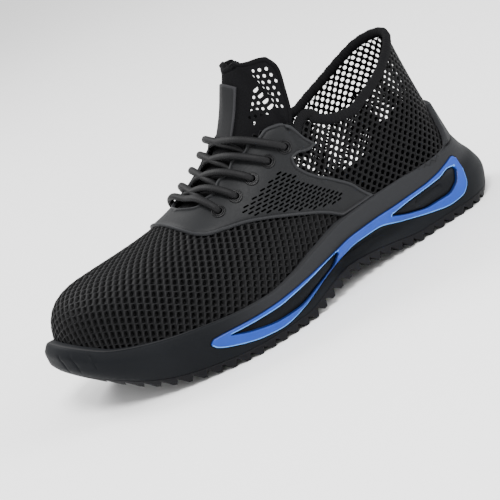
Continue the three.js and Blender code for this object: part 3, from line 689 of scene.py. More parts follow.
MATERIALS = {
    "outsole": simple_material("outsole rubber", (0.005, 0.005, 0.006), 0.6, shine=0.09),
    # Midsole foam: the band layer is painted light, the upper part of the side wall paler from the middle of the sole
    # back to the heel.
    "midsole": simple_material("midsole foam", (0.0052, 0.0058, 0.007), 0.6, grain=900, shine=0.07, layers=(
        ("band", 0.0, 1.0, (0.017, 0.0175, 0.019)), ("lip", 0.45, 1.0, (0.024, 0.024, 0.025)))),
    # Inlay plastic: a painted highlight on the lower rims and painted shade along the upper edges.
    "inlay": simple_material("inlay plastic", (0.006, 0.041, 0.28), 0.4, grain=300, strength=0.05, shine=0.22, layers=(
        ("rim", 0.2, 0.8, (0.11, 0.33, 0.85)), ("painted_shade_edge", 0.2, 0.8, (0.003, 0.01, 0.06)))),
    "insole": simple_material("insole textile", (0.002, 0.002, 0.0023), 0.95, shine=0.02),
    # Upper yarn: painted shade deep in the cells' pits and a painted highlight on their raised, leaning sides, both set
    # by the height kept on the net.
    "upper": simple_material("upper yarn", (0.0031, 0.0031, 0.0035), 0.48, grain=1400, strength=0.5, shine=0.08, layers=(
        ("height", 0.05, -0.4, (0.0002, 0.0002, 0.0003)), ("height", 0.24, 0.42, (0.0095, 0.0095, 0.01)))),
    "eyestay": simple_material("eyestay film", (0.0088, 0.0092, 0.01), 0.52, shine=0.12, layers=(
        ("edge", 0.3, 0.9, (0.017, 0.0175, 0.019)),)),
    "tongue": simple_material("tongue textile", (0.0035, 0.0035, 0.004), 0.85, grain=700, strength=0.9, shine=0.06),
    "tongue_tab": simple_material("label", (0.0105, 0.0107, 0.0115), 0.6, shine=0.08, layers=(
        ("edge", 0.3, 0.9, (0.022, 0.022, 0.024)),)),
    "binding": simple_material("binding textile", (0.0055, 0.0055, 0.006), 0.9, grain=1500, strength=0.6, shine=0.06),
    "eyelet": simple_material("eyelet plastic", (0.003, 0.003, 0.0035), 0.35, shine=0.2),
    "lace": simple_material("lace cord", (0.005, 0.005, 0.0055), 0.6, shine=0.14),
}
for entry in frame["record"]["subparts"]:
    node = frame["nodes"][entry["node"]]
    node.data.materials.clear()
    node.data.materials.append(MATERIALS[entry["material_slot"]])


# Outlines on the flat pattern and meshes filled between them.
def smooth_line(points, step, closed=False):
    """Evenly spaced points of a smooth curve through the given ones."""
    points = np.asarray(points, float)
    count = len(points)
    pick = (lambda i: points[i % count]) if closed else (lambda i: points[min(max(i, 0), count - 1)])
    t = np.linspace(0, 1, 24, endpoint=False)[:, None]
    fine = []
    for i in range(count if closed else count - 1):
        a, b, c, d = (pick(i + k) for k in (-1, 0, 1, 2))
        fine.append(b + (c - a) * t / 2 + (2 * a - 5 * b + 4 * c - d) * t**2 / 2 + (3 * b - a - 3 * c + d) * t**3 / 2)
    fine.append(points[:1] if closed else points[-1:])
    fine = np.concatenate(fine)
    length = np.concatenate([[0], np.cumsum(np.linalg.norm(np.diff(fine, axis=0), axis=1))])
    places = np.linspace(0, length[-1], max(int(round(length[-1] / step)), 3) + 1)
    places = places[:-1] if closed else places
    return np.stack([np.interp(places, length, fine[:, k]) for k in range(fine.shape[1])], -1)


def edge_distance(points, outline):
    """Distance of each point to a closed outline."""
    start, span = outline, np.roll(outline, -1, 0) - outline
    size = np.maximum((span**2).sum(-1), 1e-12)
    result = np.zeros(len(points))
    for low in range(0, len(points), 1500):
        away = points[low:low + 1500, None] - start[None]
        t = np.clip((away * span).sum(-1) / size, 0, 1)
        result[low:low + 1500] = np.linalg.norm(away - t[..., None] * span, axis=-1).min(1)
    return result


def inside(points, outline):
    """Whether each point lies in a closed outline."""
    ax, ay = outline.T
    bx, by = np.roll(outline, -1, 0).T
    result = np.zeros(len(points), bool)
    for low in range(0, len(points), 1500):
        x, y = points[low:low + 1500].T[..., None]
        crosses = (ay > y) != (by > y)
        where = ax + (y - ay) * (bx - ax) / np.where(by == ay, 1e-9, by - ay)
        result[low:low + 1500] = (crosses & (x < where)).sum(1) % 2 == 1
    return result


def inset(outline, distance):
    """Points that lie at a distance inside a closed outline."""
    ahead = np.roll(outline, -1, 0) - np.roll(outline, 1, 0)
    ahead /= np.maximum(np.linalg.norm(ahead, axis=1, keepdims=True), 1e-9)
    turn = np.stack([-ahead[:, 1], ahead[:, 0]], -1)
    area = (outline[:, 0] * np.roll(outline[:, 1], -1) - outline[:, 1] * np.roll(outline[:, 0], -1)).sum()
    moved = outline + turn * distance * np.sign(area)
    return moved[edge_distance(moved, outline) > distance * 0.93]


def spread_points(outline, spacing, margin):
    """Staggered grid of points inside an outline, clear of its edge."""
    low, high = outline.min(0), outline.max(0)
    x, y = np.meshgrid(np.arange(low[0], high[0], spacing), np.arange(low[1], high[1], spacing * 0.87))
    x = x + (np.arange(x.shape[0]) % 2)[:, None] * spacing / 2
    points = np.stack([x.ravel(), y.ravel()], -1)
    points = points[inside(points, outline)]
    return points[edge_distance(points, outline) > margin]


def fill(outlines, inner, keep):
    """Triangles over outlines and inner points, of which those are kept whose middle passes the test."""
    edges = []
    count = 0
    for outline in outlines:
        edges += [(count + i, count + (i + 1) % len(outline)) for i in range(len(outline))]
        count += len(outline)
    points = np.concatenate(list(outlines) + [inner])
    corners = [Vector((float(x), float(y))) for x, y in points]
    found = geometry.delaunay_2d_cdt(corners, edges, [], 0, 1e-4, False)
    points = np.array([tuple(corner) for corner in found[0]])
    triangles = np.array([face for face in found[2] if len(face) == 3])
    middle = points[triangles].mean(1)
    triangles = triangles[keep(middle)]
    used, back = np.unique(triangles, return_inverse=True)
    return points[used], back.reshape(-1, 3)


def plate(outer, inner, faces):
    """Closed sheet: outer and inner points over the same faces, with walls along the open edges."""
    count = len(outer)
    seen = {}
    for face in faces:
        for a, b in zip(face, np.roll(face, -1)):
            seen[(int(a), int(b))] = True
    walls = [(b, a, a + count, b + count) for a, b in seen if (b, a) not in seen]
    back = [tuple(int(i) + count for i in reversed(face)) for face in faces]
    return np.concatenate([outer, inner]), [tuple(int(i) for i in face) for face in faces] + back + walls


def on_pattern(side, along, up):
    """Places of the flat pattern for points of the side view."""
    return flatten(*find_on_last(along, up, side, SIDE_VIEW))


def ridge_on_pattern(x):
    """Place of the flat pattern on the ridge, above a point of the sole's length."""
    at = np.linspace(0, LEG_START, 400)
    here = np.interp(x, upper_x(ridge_along(at)), at)
    return flatten(turn_of(here, -1), np.array(1.0))


def lay(flat, offset):
    """Points over the last at places of the flat pattern."""
    turn, rise, _ = unflat(flat)
    return last_at(turn, rise, np.broadcast_to(offset, (len(flat),)))


def store(piece, name, values):
    """Value kept on each vertex, for the piece's material."""
    layer = piece.data.attributes.new(name, "FLOAT", "POINT")
    layer.data.foreach_set("value", np.asarray(values, dtype=np.float32))


def weld(piece, distance, sharp=50):
    """Drops loose points, joins points that lie on each other and turns all faces outwards."""
    work = bmesh.new()
    work.from_mesh(piece.data)
    bmesh.ops.delete(work, geom=[vert for vert in work.verts if not vert.link_faces], context="VERTS")
    bmesh.ops.remove_doubles(work, verts=work.verts, dist=distance * MM)
    bmesh.ops.recalc_face_normals(work, faces=work.faces)
    work.to_mesh(piece.data)
    work.free()
    piece.data.set_sharp_from_angle(angle=math.radians(sharp))


# Knitted net of the upper: six-sided cells, dimples over the toe and open holes behind the eyestay.
CELL_LONG = 5.1
CELL_ROW = 2.9
CELL_TIP = 2.571
CELL_EDGE = 0.329
FAN_ANGLE = math.radians(43)
NET_CLEAR = 3.5
NET_UNDER_RIM = 4.0
QUARTER_FRONT = 89.0
DIMPLE = [(0.84, 0.24, 0.2), (1.42, 0.02, 0.3), (0.6, -1.5, 0.0)]
DIMPLE_LONG = 1.36
DIMPLE_WIDE = 0.64
HOLE = [(0.82, 0.22, 0.12), (1.36, -0.1, 0.12), (1.34, -0.95, 0.0)]
NET_TOP = 0.3
NET_BACK = -1.05
STROKE_ANGLE = math.radians(36)

EYESTAY = rows(
    "along up",
    (-0.2, 0.68), (-0.196, 0.662), (-0.188, 0.638), (-0.17, 0.615), (-0.137, 0.602), (-0.1, 0.587),
    (-0.065, 0.56), (-0.03, 0.525), (0.01, 0.48), (0.05, 0.43), (0.088, 0.362),
    (0.177, 0.362), (0.157, 0.42), (0.137, 0.49), (0.1, 0.57), (0.07, 0.63), (0.052, 0.685),
    (0.047, 0.72), (0.05, 0.748), (0.063, 0.755), (0.085, 0.742), (0.108, 0.75),
    (0.09, 0.815), (0.082, 0.87), (0.075, 0.905), (0.06, 0.93), (0.035, 0.935), (0.02, 0.915), (0.004, 0.89),
)
EYESTAY_LINES = ((0, 11), (11, 22), (21, 29))
EYESTAY_STEP = 1.3
THROAT_ROUND = 9.0
SCALLOP = 1.2
EYELET_PITCH = 13.0


def throat_edge(side):
    """Edge of the throat in plan, back to front, drawn in by a scallop at each eyelet."""
    front = THROAT["at"][0] * SOLE_LENGTH
    x = np.linspace(EYESTAY["along"][-1] * SOLE_LENGTH, front + 0.4, 60)
    wave = SCALLOP * np.cos(2 * np.pi * (x - EYELETS["at"][0] * SOLE_LENGTH) / EYELET_PITCH)
    half = (throat_share(x / SOLE_LENGTH) * BALL_WIDTH - wave) * rounding(x - front, THROAT_ROUND, 2)
    y = sole_middle(sole_station(x)) + side * half
    return flatten(*find_on_last(x, y, side, PLAN_VIEW))


def eyestay_side(side):
    """Outline of one side of the eyestay on the flat pattern, from the ridge round to the throat's front."""
    places = on_pattern(side, EYESTAY["along"] * SOLE_LENGTH, EYESTAY["up"] * COLLAR_HEIGHT)
    front = ridge_on_pattern(EYESTAY["along"][0] * SOLE_LENGTH)
    lines = [np.concatenate([[front], places[:11]]), places[10:12], places[11:22], places[21:]]
    smoothed = [smooth_line(line, EYESTAY_STEP)[:-1] for line in lines]
    throat = smooth_line(throat_edge(side), EYESTAY_STEP)
    end = ridge_on_pattern(THROAT["at"][0] * SOLE_LENGTH)
    return np.concatenate(smoothed + [throat, [end]])


def eyestay_outline():
    outer, inner = eyestay_side(-1), eyestay_side(1)
    return np.concatenate([outer, inner[:-1][::-1][:-1]])


EYESTAY_OUTLINE = eyestay_outline()


def cell_rings(profile, open_cell):
    """Places and heights of one cell's points, ring by ring from its border inwards."""
    tip = [(CELL_LONG / 2, 0), (CELL_LONG / 2, CELL_EDGE), (CELL_LONG / 4, CELL_ROW / 2), (0, CELL_TIP)]
    border = np.array(tip + [(-x, y) for x, y in tip[2::-1]] + [(-x, -y) for x, y in tip[1:]] +
                      [(x, -y) for x, y in tip[2:0:-1]])
    angle = np.linspace(0, 2 * np.pi, 12, endpoint=False)
    circle = np.stack([np.cos(angle), np.sin(angle)], -1)
    if not open_cell:
        reach = np.hypot(DIMPLE_WIDE * np.cos(angle - STROKE_ANGLE), DIMPLE_LONG * np.sin(angle - STROKE_ANGLE))
        circle *= (DIMPLE_LONG * DIMPLE_WIDE / reach)[:, None]
    tilt = np.sin(angle - STROKE_ANGLE)
    share, height, lean = profile[0]
    rings = [(border, np.full(12, NET_TOP)), (border * share, height + lean * tilt)]
    rings += [(circle * radius, height + lean * tilt) for radius, height, lean in profile[1:]]
    if open_cell:
        rings.append((border, np.full(12, NET_BACK)))
    return rings


def net(name, turned, chosen, profile, open_cell, replaced=()):
    """Net of cells over the chosen part of the last, its rows turned by an angle on the flat pattern."""
    spin = np.array([[math.cos(turned), math.sin(turned)], [-math.sin(turned), math.cos(turned)]])
    reach = np.abs(PATTERN).max() * 1.3
    i, j = np.meshgrid(np.arange(-reach // CELL_LONG, reach // CELL_LONG), np.arange(-reach // CELL_ROW, reach // CELL_ROW))
    centres = np.stack([(i + (j % 2) / 2) * CELL_LONG, j * CELL_ROW], -1).reshape(-1, 2) @ spin
    low, high = PATTERN.min((0, 1)), PATTERN.max((0, 1))
    centres = centres[((centres > low) & (centres < high)).all(1)]
    turn, rise, good = unflat(centres)
    centres, turn, rise = centres[good], turn[good], rise[good]
    centres = centres[chosen(last_point(turn, rise), turn) & clear_of_eyestay(centres)]
    rings = cell_rings(profile, open_cell)
    flat = np.concatenate([place for place, _ in rings])
    height = np.concatenate([up for _, up in rings])
    if not open_cell:
        flat = np.concatenate([flat, [[0, 0]]])
        height = np.concatenate([height, [height[-1] - 0.08]])
    size = len(flat)
    points = (centres[:, None] + (flat @ spin)[None]).reshape(-1, 2)
    heights = np.tile(height, len(centres))
    band = []
    for ring in range(len(rings) - 1):
        for k in range(12):
            a, b = ring * 12 + k, ring * 12 + (k + 1) % 12
            band.append((a, b, b + 12, a + 12))
    if not open_cell:
        last = (len(rings) - 1) * 12
        band += [(last + k, last + (k + 1) % 12, size - 1) for k in range(12)]
    faces = [tuple(c * size + corner for corner in face) for c in range(len(centres)) for face in band]
    piece = make(name, lay(points, heights), faces, MATERIALS["upper"], replaced)
    # The height also sets painted shade in the pits and a painted highlight on the raised sides, in the upper yarn
    # material.
    store(piece, "height", heights)
    weld(piece, 0.02, 80)


def clear_of_eyestay(flat):
    return ~(inside(flat, EYESTAY_OUTLINE) & (edge_distance(flat, EYESTAY_OUTLINE) > NET_CLEAR)) & outside_throat(flat)


def outside_throat(flat):
    turn, rise, _ = unflat(flat)
    point = last_point(turn, rise)
    half = throat_share(point[:, 0] / SOLE_LENGTH) * BALL_WIDTH
    wide = np.abs(point[:, 1] - sole_middle(sole_station(point[:, 0]))) > half
    return wide | (point[:, 0] < THROAT["at"][0] * SOLE_LENGTH) | (point[:, 0] > EYELETS["at"][-1] * SOLE_LENGTH)


def above_sole(point):
    return point[:, 2] > rim(sole_station(point[:, 0])) - NET_UNDER_RIM


def behind_eyestay(point):
    return point[:, 0] > QUARTER_FRONT - point[:, 2]


def vamp_cells(point, turn):
    return above_sole(point) & ~behind_eyestay(point)


def quarter_cells(side):
    def chosen(point, turn):
        own = side_of(turn) == side
        return own & above_sole(point) & behind_eyestay(point) & (point[:, 2] < collar_line(point[:, 0]) - 0.5)
    return chosen


def make_net():
    net("vamp_net", 0.0, vamp_cells, DIMPLE, False, ("upper",))
    net("quarter_net_outer", -FAN_ANGLE, quarter_cells(-1), HOLE, True, ("upper",))
    net("quarter_net_inner", FAN_ANGLE, quarter_cells(1), HOLE, True, ("upper",))


# Dark lining under the closed parts of the net.
LINING_OUT = -1.66
LINING_IN = -2.0
LINING_FRONT = 10.0
LINING_REAR = 108.0
LINING_LOW_OUTER = 56.0
LINING_LOW_INNER = 43.0
LINING_EYESTAY = 96.0


def make_lining():
    turn = np.linspace(-1, 1, 241)
    rise = np.linspace(0, 1, 61)
    turns, rises = np.meshgrid(turn, rise, indexing="ij")
    place = last_point(turns, rises)
    centre = (place[1:, 1:] + place[:-1, :-1] + place[1:, :-1] + place[:-1, 1:]) / 4
    x, z = centre[..., 0], centre[..., 2]
    throat = (np.abs(centre[..., 1] - sole_middle(sole_station(x))) < (throat_share(x / SOLE_LENGTH) + 0.02) * BALL_WIDTH)
    throat &= (x > THROAT["at"][0] * SOLE_LENGTH - 4) & (z > 60)
    low = np.where(centre[..., 1] < 0, LINING_LOW_OUTER, LINING_LOW_INNER)
    middle = flatten((turns[1:, 1:] + turns[:-1, :-1]) / 2, (rises[1:, 1:] + rises[:-1, :-1]) / 2)
    under = inside(middle.reshape(-1, 2), EYESTAY_OUTLINE).reshape(x.shape)
    closed = (x < LINING_FRONT) | (x > LINING_REAR) | (z < low) | (under & (z < LINING_EYESTAY))
    keep = closed & ~throat & (z < collar_line(x) - 1.5)
    faces = []
    for i in range(len(turn) - 1):
        for j in range(len(rise) - 1):
            if keep[i, j]:
                a, b = i * len(rise) + j, (i + 1) * len(rise) + j
                faces.append((a, b, b + 1, a + 1))
    outer = last_at(turns, rises, np.full(turns.shape, LINING_OUT)).reshape(-1, 3)
    inner = last_at(turns, rises, np.full(turns.shape, LINING_IN)).reshape(-1, 3)
    points, all_faces = plate(outer, inner, faces)
    piece = make("lining", points, all_faces, MATERIALS["insole"], ("upper",))
    weld(piece, 0.01)


make_net()
make_lining()


# Moulded eyestay with a piped edge, vent slots and eyelet holes.
PIPING = rows(
    "at height",
    (0.0, 1.1), (0.3, 1.75), (0.8, 2.2), (1.2, 2.3), (1.6, 2.15), (2.0, 1.6), (2.4, 1.3), (2.9, 1.5), (3.6, 1.6),
)
PIPING_ROWS = (0.4, 0.9, 1.4, 1.9, 2.3, 2.8)
EYESTAY_BACK = 0.32
SLOT_LONG = 3.6
SLOT_HIGH = 1.15
SLOT_PITCH = 4.5
SLOT_ROW = 1.95
VENT_WINDOW = np.array([(3.5, 84.5), (-29.0, 75.0), (-28.0, 71.0), (-10.0, 64.0), (8.0, 56.5), (22.0, 51.0), (36.0, 51.0), (31.0, 57.0), (18.0, 70.0)])
EYELET_HOLE = 3.0


def eyelet_places(side):
    """Places of the eyelets on the last."""
    found = [place_on_last(side, at * SOLE_LENGTH, spread * BALL_WIDTH) for at, spread in zip(EYELETS["at"], EYELETS["spread"])]
    at, rise = np.array(found).T
    return turn_of(at, side), rise


def slot_lines(side):
    """Middle lines of the vent slots on the flat pattern, as start and end points."""
    low, high = VENT_WINDOW.min(0), VENT_WINDOW.max(0)
    starts, ends = [], []
    for row, z in enumerate(np.arange(low[1] + 1, high[1], SLOT_ROW)):
        for x in np.arange(low[0] + (row % 2) * SLOT_PITCH / 2, high[0], SLOT_PITCH):
            half = (SLOT_LONG - SLOT_HIGH) / 2
            tips = np.array([(x - half, z), (x + half, z)])
            if inside(tips, VENT_WINDOW).all():
                starts.append((x - half, z - 0.06 * half))
                ends.append((x + half, z + 0.06 * half))
    starts, ends = np.array(starts), np.array(ends)
    return on_pattern(side, *starts.T), on_pattern(side, *ends.T)


def rounded_slot(start, end):
    along = (end - start) / np.linalg.norm(end - start)
    across = np.array([-along[1], along[0]])
    angle = np.linspace(-np.pi / 2, np.pi / 2, 5)
    arc = (np.cos(angle)[:, None] * along + np.sin(angle)[:, None] * across) * SLOT_HIGH / 2
    return np.concatenate([end + arc, start - arc])


def make_eyestay():
    outline = EYESTAY_OUTLINE
    starts, ends = (np.concatenate(both) for both in zip(slot_lines(-1), slot_lines(1)))
    slots = [rounded_slot(a, b) for a, b in zip(starts, ends)]
    eyes = np.concatenate([flatten(*eyelet_places(side)) for side in (-1, 1)])
    angle = np.linspace(0, 2 * np.pi, 16, endpoint=False)
    circle = np.stack([np.cos(angle), np.sin(angle)], -1) * EYELET_HOLE
    circles = [eye + circle for eye in eyes]
    inner = np.concatenate([inset(outline, row) for row in PIPING_ROWS] + [spread_points(outline, 1.7, 3.6)])
    holes = slots + circles
    clear = np.ones(len(inner), bool)
    for hole in holes:
        near = np.linalg.norm(inner - hole.mean(0), axis=1) < 5
        clear[np.where(near)[0][inside(inner[near], hole) | (edge_distance(inner[near], hole) < 0.3)]] = False

    def keep(middle):
        good = inside(middle, outline)
        for hole in holes:
            near = np.where(np.linalg.norm(middle - hole.mean(0), axis=1) < 5)[0]
            good[near[inside(middle[near], hole)]] = False
        return good

    flat, triangles = fill([outline] + holes, inner[clear], keep)
    distance = edge_distance(flat, outline)
    height = curve(PIPING, "height")(distance)
    points, faces = plate(lay(flat, height), lay(flat, EYESTAY_BACK), triangles)
    piece = make("eyestay_film", points, faces, MATERIALS["eyestay"], ("eyestay",))
    store(piece, "edge", np.tile(smooth(2.1, 1.2, distance), 2))
    weld(piece, 0.001)


make_eyestay()


# Foam midsole: side walls with pockets for the inlays, a rolled rim and the riser up the heel.
INLAY_PROUD = 0.9
INLAY_DEPTH = 1.6
RISER_THICKNESS = 3.2
RISER = rows(
    "at up",
    (108.0, 38.0), (111.4, 39.8), (116.9, 42.8), (120.6, 47.6), (121.8, 53.0), (122.3, 60.0), (123.6, 64.0),
    (126.0, 66.2), (140.0, 67.8),
)
RIM_ROUND = 1.2
SOLE_TURNS = 170
WALL_GRID = 2.0
FLOOR_GRID = 1.0
SEAM_ROWS = 24
TOE_LINES = (14.0, 24.0, 36.0)
TOE_LINE_LOW = 33.0
TOE_LINE_HIGH = 43.0
TOE_LINE_LEAN = -4.0
TOE_LINE_DEPTH = 0.45
FOAM_RISE = 1.3
FOAM_SLOT = ((79.0, 99.0), (23.2, 23.6))
FOAM_SLOT_DEPTH = 1.1

plan_turns = np.linspace(0, 1, 600)
PLAN_LENGTH = {}
for plan_side in (-1, 1):
    plan_line = sole_plan(plan_turns if plan_side < 0 else 2 - plan_turns)
    plan_steps = np.linalg.norm(np.diff(plan_line, axis=0), axis=1)
    PLAN_LENGTH[plan_side] = np.concatenate([[0], np.cumsum(plan_steps)])


def along_plan(turn, side):
    """Length along the sole's outline from the toe to a turn."""
    return np.interp(np.where(np.asarray(turn) > 1, 2 - turn, turn), plan_turns, PLAN_LENGTH[side])


def plan_turn(length, side):
    turn = np.interp(length, PLAN_LENGTH[side], plan_turns)
    return turn if side < 0 else 2 - turn


def wall_place(side, x, z):
    """Place on the side wall, as length and height, of points of the side view."""
    at = sole_station(x)
    for _ in range(12):
        at = np.clip(at + (x - sole_side(turn_of(at, side), z)[..., 0]) / SOLE_LENGTH, 0.001, 0.999)
    return np.stack([along_plan(turn_of(at, side), side), z], -1)


def on_wall(flat, side, out):
    """Points on the side wall at lengths and heights, moved out by an amount."""
    return sole_side(plan_turn(flat[:, 0], side), flat[:, 1], np.broadcast_to(out, (len(flat),)))


def lens(table, side):
    """Closed outline between the low and high column of a table, on the side wall."""
    share = station_of(np.linspace(0, 1, 60))
    at = mix(table["at"][0], table["at"][-1], share)
    low, high = curve(table, "low")(at), curve(table, "high")(at)
    x = np.concatenate([at, at[::-1]]) * SOLE_LENGTH
    z = np.concatenate([low, high[::-1]]) * SIDE_HEIGHT
    return smooth_line(wall_place(side, x, z), 1.1, True)


def rise_at(turn, height):
    """Rise of the last where it reaches a height."""
    rise = np.linspace(0, 1, 160)
    up = last_point(np.asarray(turn)[:, None], rise[None])[..., 2]
    return np.array([np.interp(h, u, rise) for h, u in zip(height, up)])


def riser_height(turn, low):
    """Height to which the midsole's edge rises at a turn: the rim, or the riser's edge in the side view."""
    heights = np.linspace(0, 1, 140)[None] * (RISER["up"][-1] - low[:, None]) + low[:, None]
    result = low.copy()
    for i, one in enumerate(turn):
        rise = rise_at(np.full(140, one), heights[i])
        x = last_point(np.full(140, one), rise)[:, 0]
        under = heights[i] <= np.interp(x, RISER["at"], RISER["up"])
        under &= x > RISER["at"][0]
        stop = np.argmin(under) if not under.all() else 140
        result[i] = heights[i][max(stop - 1, 0)]
    return result


def toe_lines(side):
    """Places along and beside the curved lines of the toe bumper, and how deep the wall is there."""
    places, depth = [], []
    for start in TOE_LINES:
        for z in np.arange(TOE_LINE_LOW, TOE_LINE_HIGH, 1.2):
            lean = TOE_LINE_LEAN * ((z - TOE_LINE_LOW) / (TOE_LINE_HIGH - TOE_LINE_LOW)) ** 2
            for beside, deep in ((-0.7, 0.0), (0.0, TOE_LINE_DEPTH), (0.7, 0.0)):
                places.append((start + lean + beside, z))
                depth.append(deep)
    return np.array(places), np.array(depth)


def floor_relief(floor, side):
    """How far the foam in the rear hole stands up from the pocket's floor, with a slot along it."""
    hole = lens(REAR_HOLE, side)
    raised = np.where(inside(floor, hole), smooth(0.3, 1.6, edge_distance(floor, hole)), 0.0) * FOAM_RISE
    tips = wall_place(side, np.array(FOAM_SLOT[0]), np.array(FOAM_SLOT[1]))
    span = tips[1] - tips[0]
    share = np.clip(((floor - tips[0]) @ span) / (span @ span), 0, 1)
    away = np.linalg.norm(floor - tips[0] - share[:, None] * span, axis=1)
    return raised - FOAM_SLOT_DEPTH * smooth(2.0, 1.0, away)


def half_wall(side, edge_turns):
    """Side wall of one half of the midsole with the pocket for its inlay."""
    at = station_of(edge_turns)
    length = along_plan(edge_turns, side)
    top = np.stack([length, rim(at) - RIM_ROUND], -1)
    bottom = np.stack([length, parting(at) + GAP], -1)
    rise = np.linspace(0, 1, SEAM_ROWS)[1:-1, None]
    outline = np.concatenate([bottom, mix(bottom[-1], top[-1], rise), top[::-1], mix(top[0], bottom[0], rise)])
    pocket = smooth_line(inset(lens(INLAY, side), -GAP), 1.1, True)
    inner = spread_points(outline, WALL_GRID, 0.8)
    clear = (edge_distance(inner, pocket) > 0.6) & ~inside(inner, pocket)
    around = inset(pocket, -0.8)
    lines, depth = toe_lines(side)
    near = np.linalg.norm(inner[:, None] - lines[None], axis=-1).min(1)
    inner, clear = inner[near > 0.8], clear[near > 0.8]
    around = np.concatenate([around, lines])
    flat, faces = fill([outline, pocket], np.concatenate([inner[clear], around]),
                       lambda middle: inside(middle, outline) & ~inside(middle, pocket))
    deep_here = np.zeros(len(flat))
    for spot, deep in zip(lines, depth):
        deep_here[np.linalg.norm(flat - spot, axis=1) < 0.05] = deep
    points = [on_wall(flat, side, -deep_here)]
    floor_points = inset(pocket, 1.2)
    deep = -INLAY_DEPTH - GAP
    floor, floor_faces = fill([pocket], np.concatenate([floor_points, spread_points(pocket, FLOOR_GRID, 2)]),
                              lambda middle: inside(middle, pocket))
    points.append(on_wall(floor, side, deep + floor_relief(floor, side)))
    all_faces = [tuple(face) for face in faces] + [tuple(face + len(flat)) for face in floor_faces]
    start = sum(len(p) for p in points)
    points += [on_wall(pocket, side, 0.0), on_wall(pocket, side, deep)]
    size = len(pocket)
    for i in range(size):
        j = (i + 1) % size
        all_faces.append((start + i, start + j, start + size + j, start + size + i))
    return np.concatenate(points), all_faces


def make_midsole():
    half = np.linspace(0, 1, SOLE_TURNS + 1)
    points, faces = [], []
    count = 0
    for side, turns in ((-1, half), (1, 2 - half)):
        wall, wall_faces = half_wall(side, turns)
        points.append(wall)
        faces += [tuple(int(i) + count for i in face) for face in wall_faces]
        count += len(wall)
    ring = np.concatenate([half, 2 - half[1:-1][::-1]])
    at = station_of(ring)
    top = rim(at)
    high = np.maximum(riser_height(ring, top), top)
    share = smooth(0.5, 4.0, high - top)
    thick = mix(GAP, RISER_THICKNESS, share)
    rolls = [sole_side(ring, top - down, -inward) for down, inward in ((RIM_ROUND, 0.0), (0.55, 0.12), (0.15, 0.5), (0.0, 1.2))]
    above = []
    for part in np.linspace(0, 1, 7):
        z = mix(top + 0.1, np.maximum(high - 1.0, top + 0.1), part)
        above.append(last_at(ring, rise_at(ring, z), thick))
    for down, thin in ((0.3, 0.85), (0.0, 0.5), (0.0, 0.0)):
        z = np.maximum(high - down, top + 0.1)
        above.append(last_at(ring, rise_at(ring, z), mix(GAP, thick, thin)))
    below = [last_at(ring, rise_at(ring, mix(top, last_point(ring, 0 * ring)[:, 2], part)), GAP + 0 * ring) for part in (0.5, 1.0)]
    rings = rolls + above + below
    size = len(ring)
    for level in range(len(rings) - 1):
        for i in range(size):
            j = (i + 1) % size
            base = count + level * size
            faces.append((base + i, base + j, base + size + j, base + size + i))
    points.append(np.concatenate(rings))
    last_ring = count + (len(rings) - 1) * size
    count += len(rings) * size
    points.append(sole_side(ring, parting(at) + GAP))
    for i in range(size // 2):
        a, b, c, d = i, i + 1, (size - i - 1) % size, (size - i) % size
        faces.append(tuple(dict.fromkeys((last_ring + a, last_ring + b, last_ring + c, last_ring + d))))
        faces.append(tuple(dict.fromkeys((count + d, count + c, count + b, count + a))))
    faces = [face for face in faces if len(set(face)) > 2]
    piece = make("midsole_foam", np.concatenate(points), faces, MATERIALS["midsole"], ("midsole",))
    lip = np.zeros(len(piece.data.vertices))
    start = sum(len(part) for part in points[:2]) + (len(rolls) - 1) * size
    lip[start:start + size] = 1
    store(piece, "lip", lip)
    # Painted light: the upper part of the side wall is made paler from the middle of the sole back to the heel, fading
    # out towards the toe.
    place = np.concatenate(points)
    share = (place[:, 2] - parting(sole_station(place[:, 0]))) / (rim(sole_station(place[:, 0])) - parting(sole_station(place[:, 0])))
    store(piece, "band", smooth(0.5, 0.8, share) * smooth(-100, -20, place[:, 0]))
    weld(piece, 0.03)


# Blue inlays: rounded loops with a painted highlight on the lower rims and painted shade along the upper edges.
INLAY_SECTION = rows("at height", (0.0, -0.3), (0.25, 0.35), (0.6, 0.75), (1.1, 0.9), (2.2, 0.8), (4.0, 0.75))


def downward(points, outlines):
    """How far the nearest edge lies below each point, from -1 to 1."""
    best = np.full(len(points), 1e9)
    result = np.zeros(len(points))
    for outline in outlines:
        span = np.roll(outline, -1, 0) - outline
        size = (span**2).sum(-1)
        for low in range(0, len(points), 1500):
            away = points[low:low + 1500, None] - outline[None]
            t = np.clip((away * span).sum(-1) / size, 0, 1)
            gap = away - t[..., None] * span
            distance = np.linalg.norm(gap, axis=-1)
            nearest = distance.argmin(1)
            near = distance[np.arange(len(nearest)), nearest]
            up = gap[np.arange(len(nearest)), nearest, 1] / np.maximum(near, 1e-6)
            better = near < best[low:low + 1500]
            best[low:low + 1500] = np.where(better, near, best[low:low + 1500])
            result[low:low + 1500] = np.where(better, up, result[low:low + 1500])
    return best, result


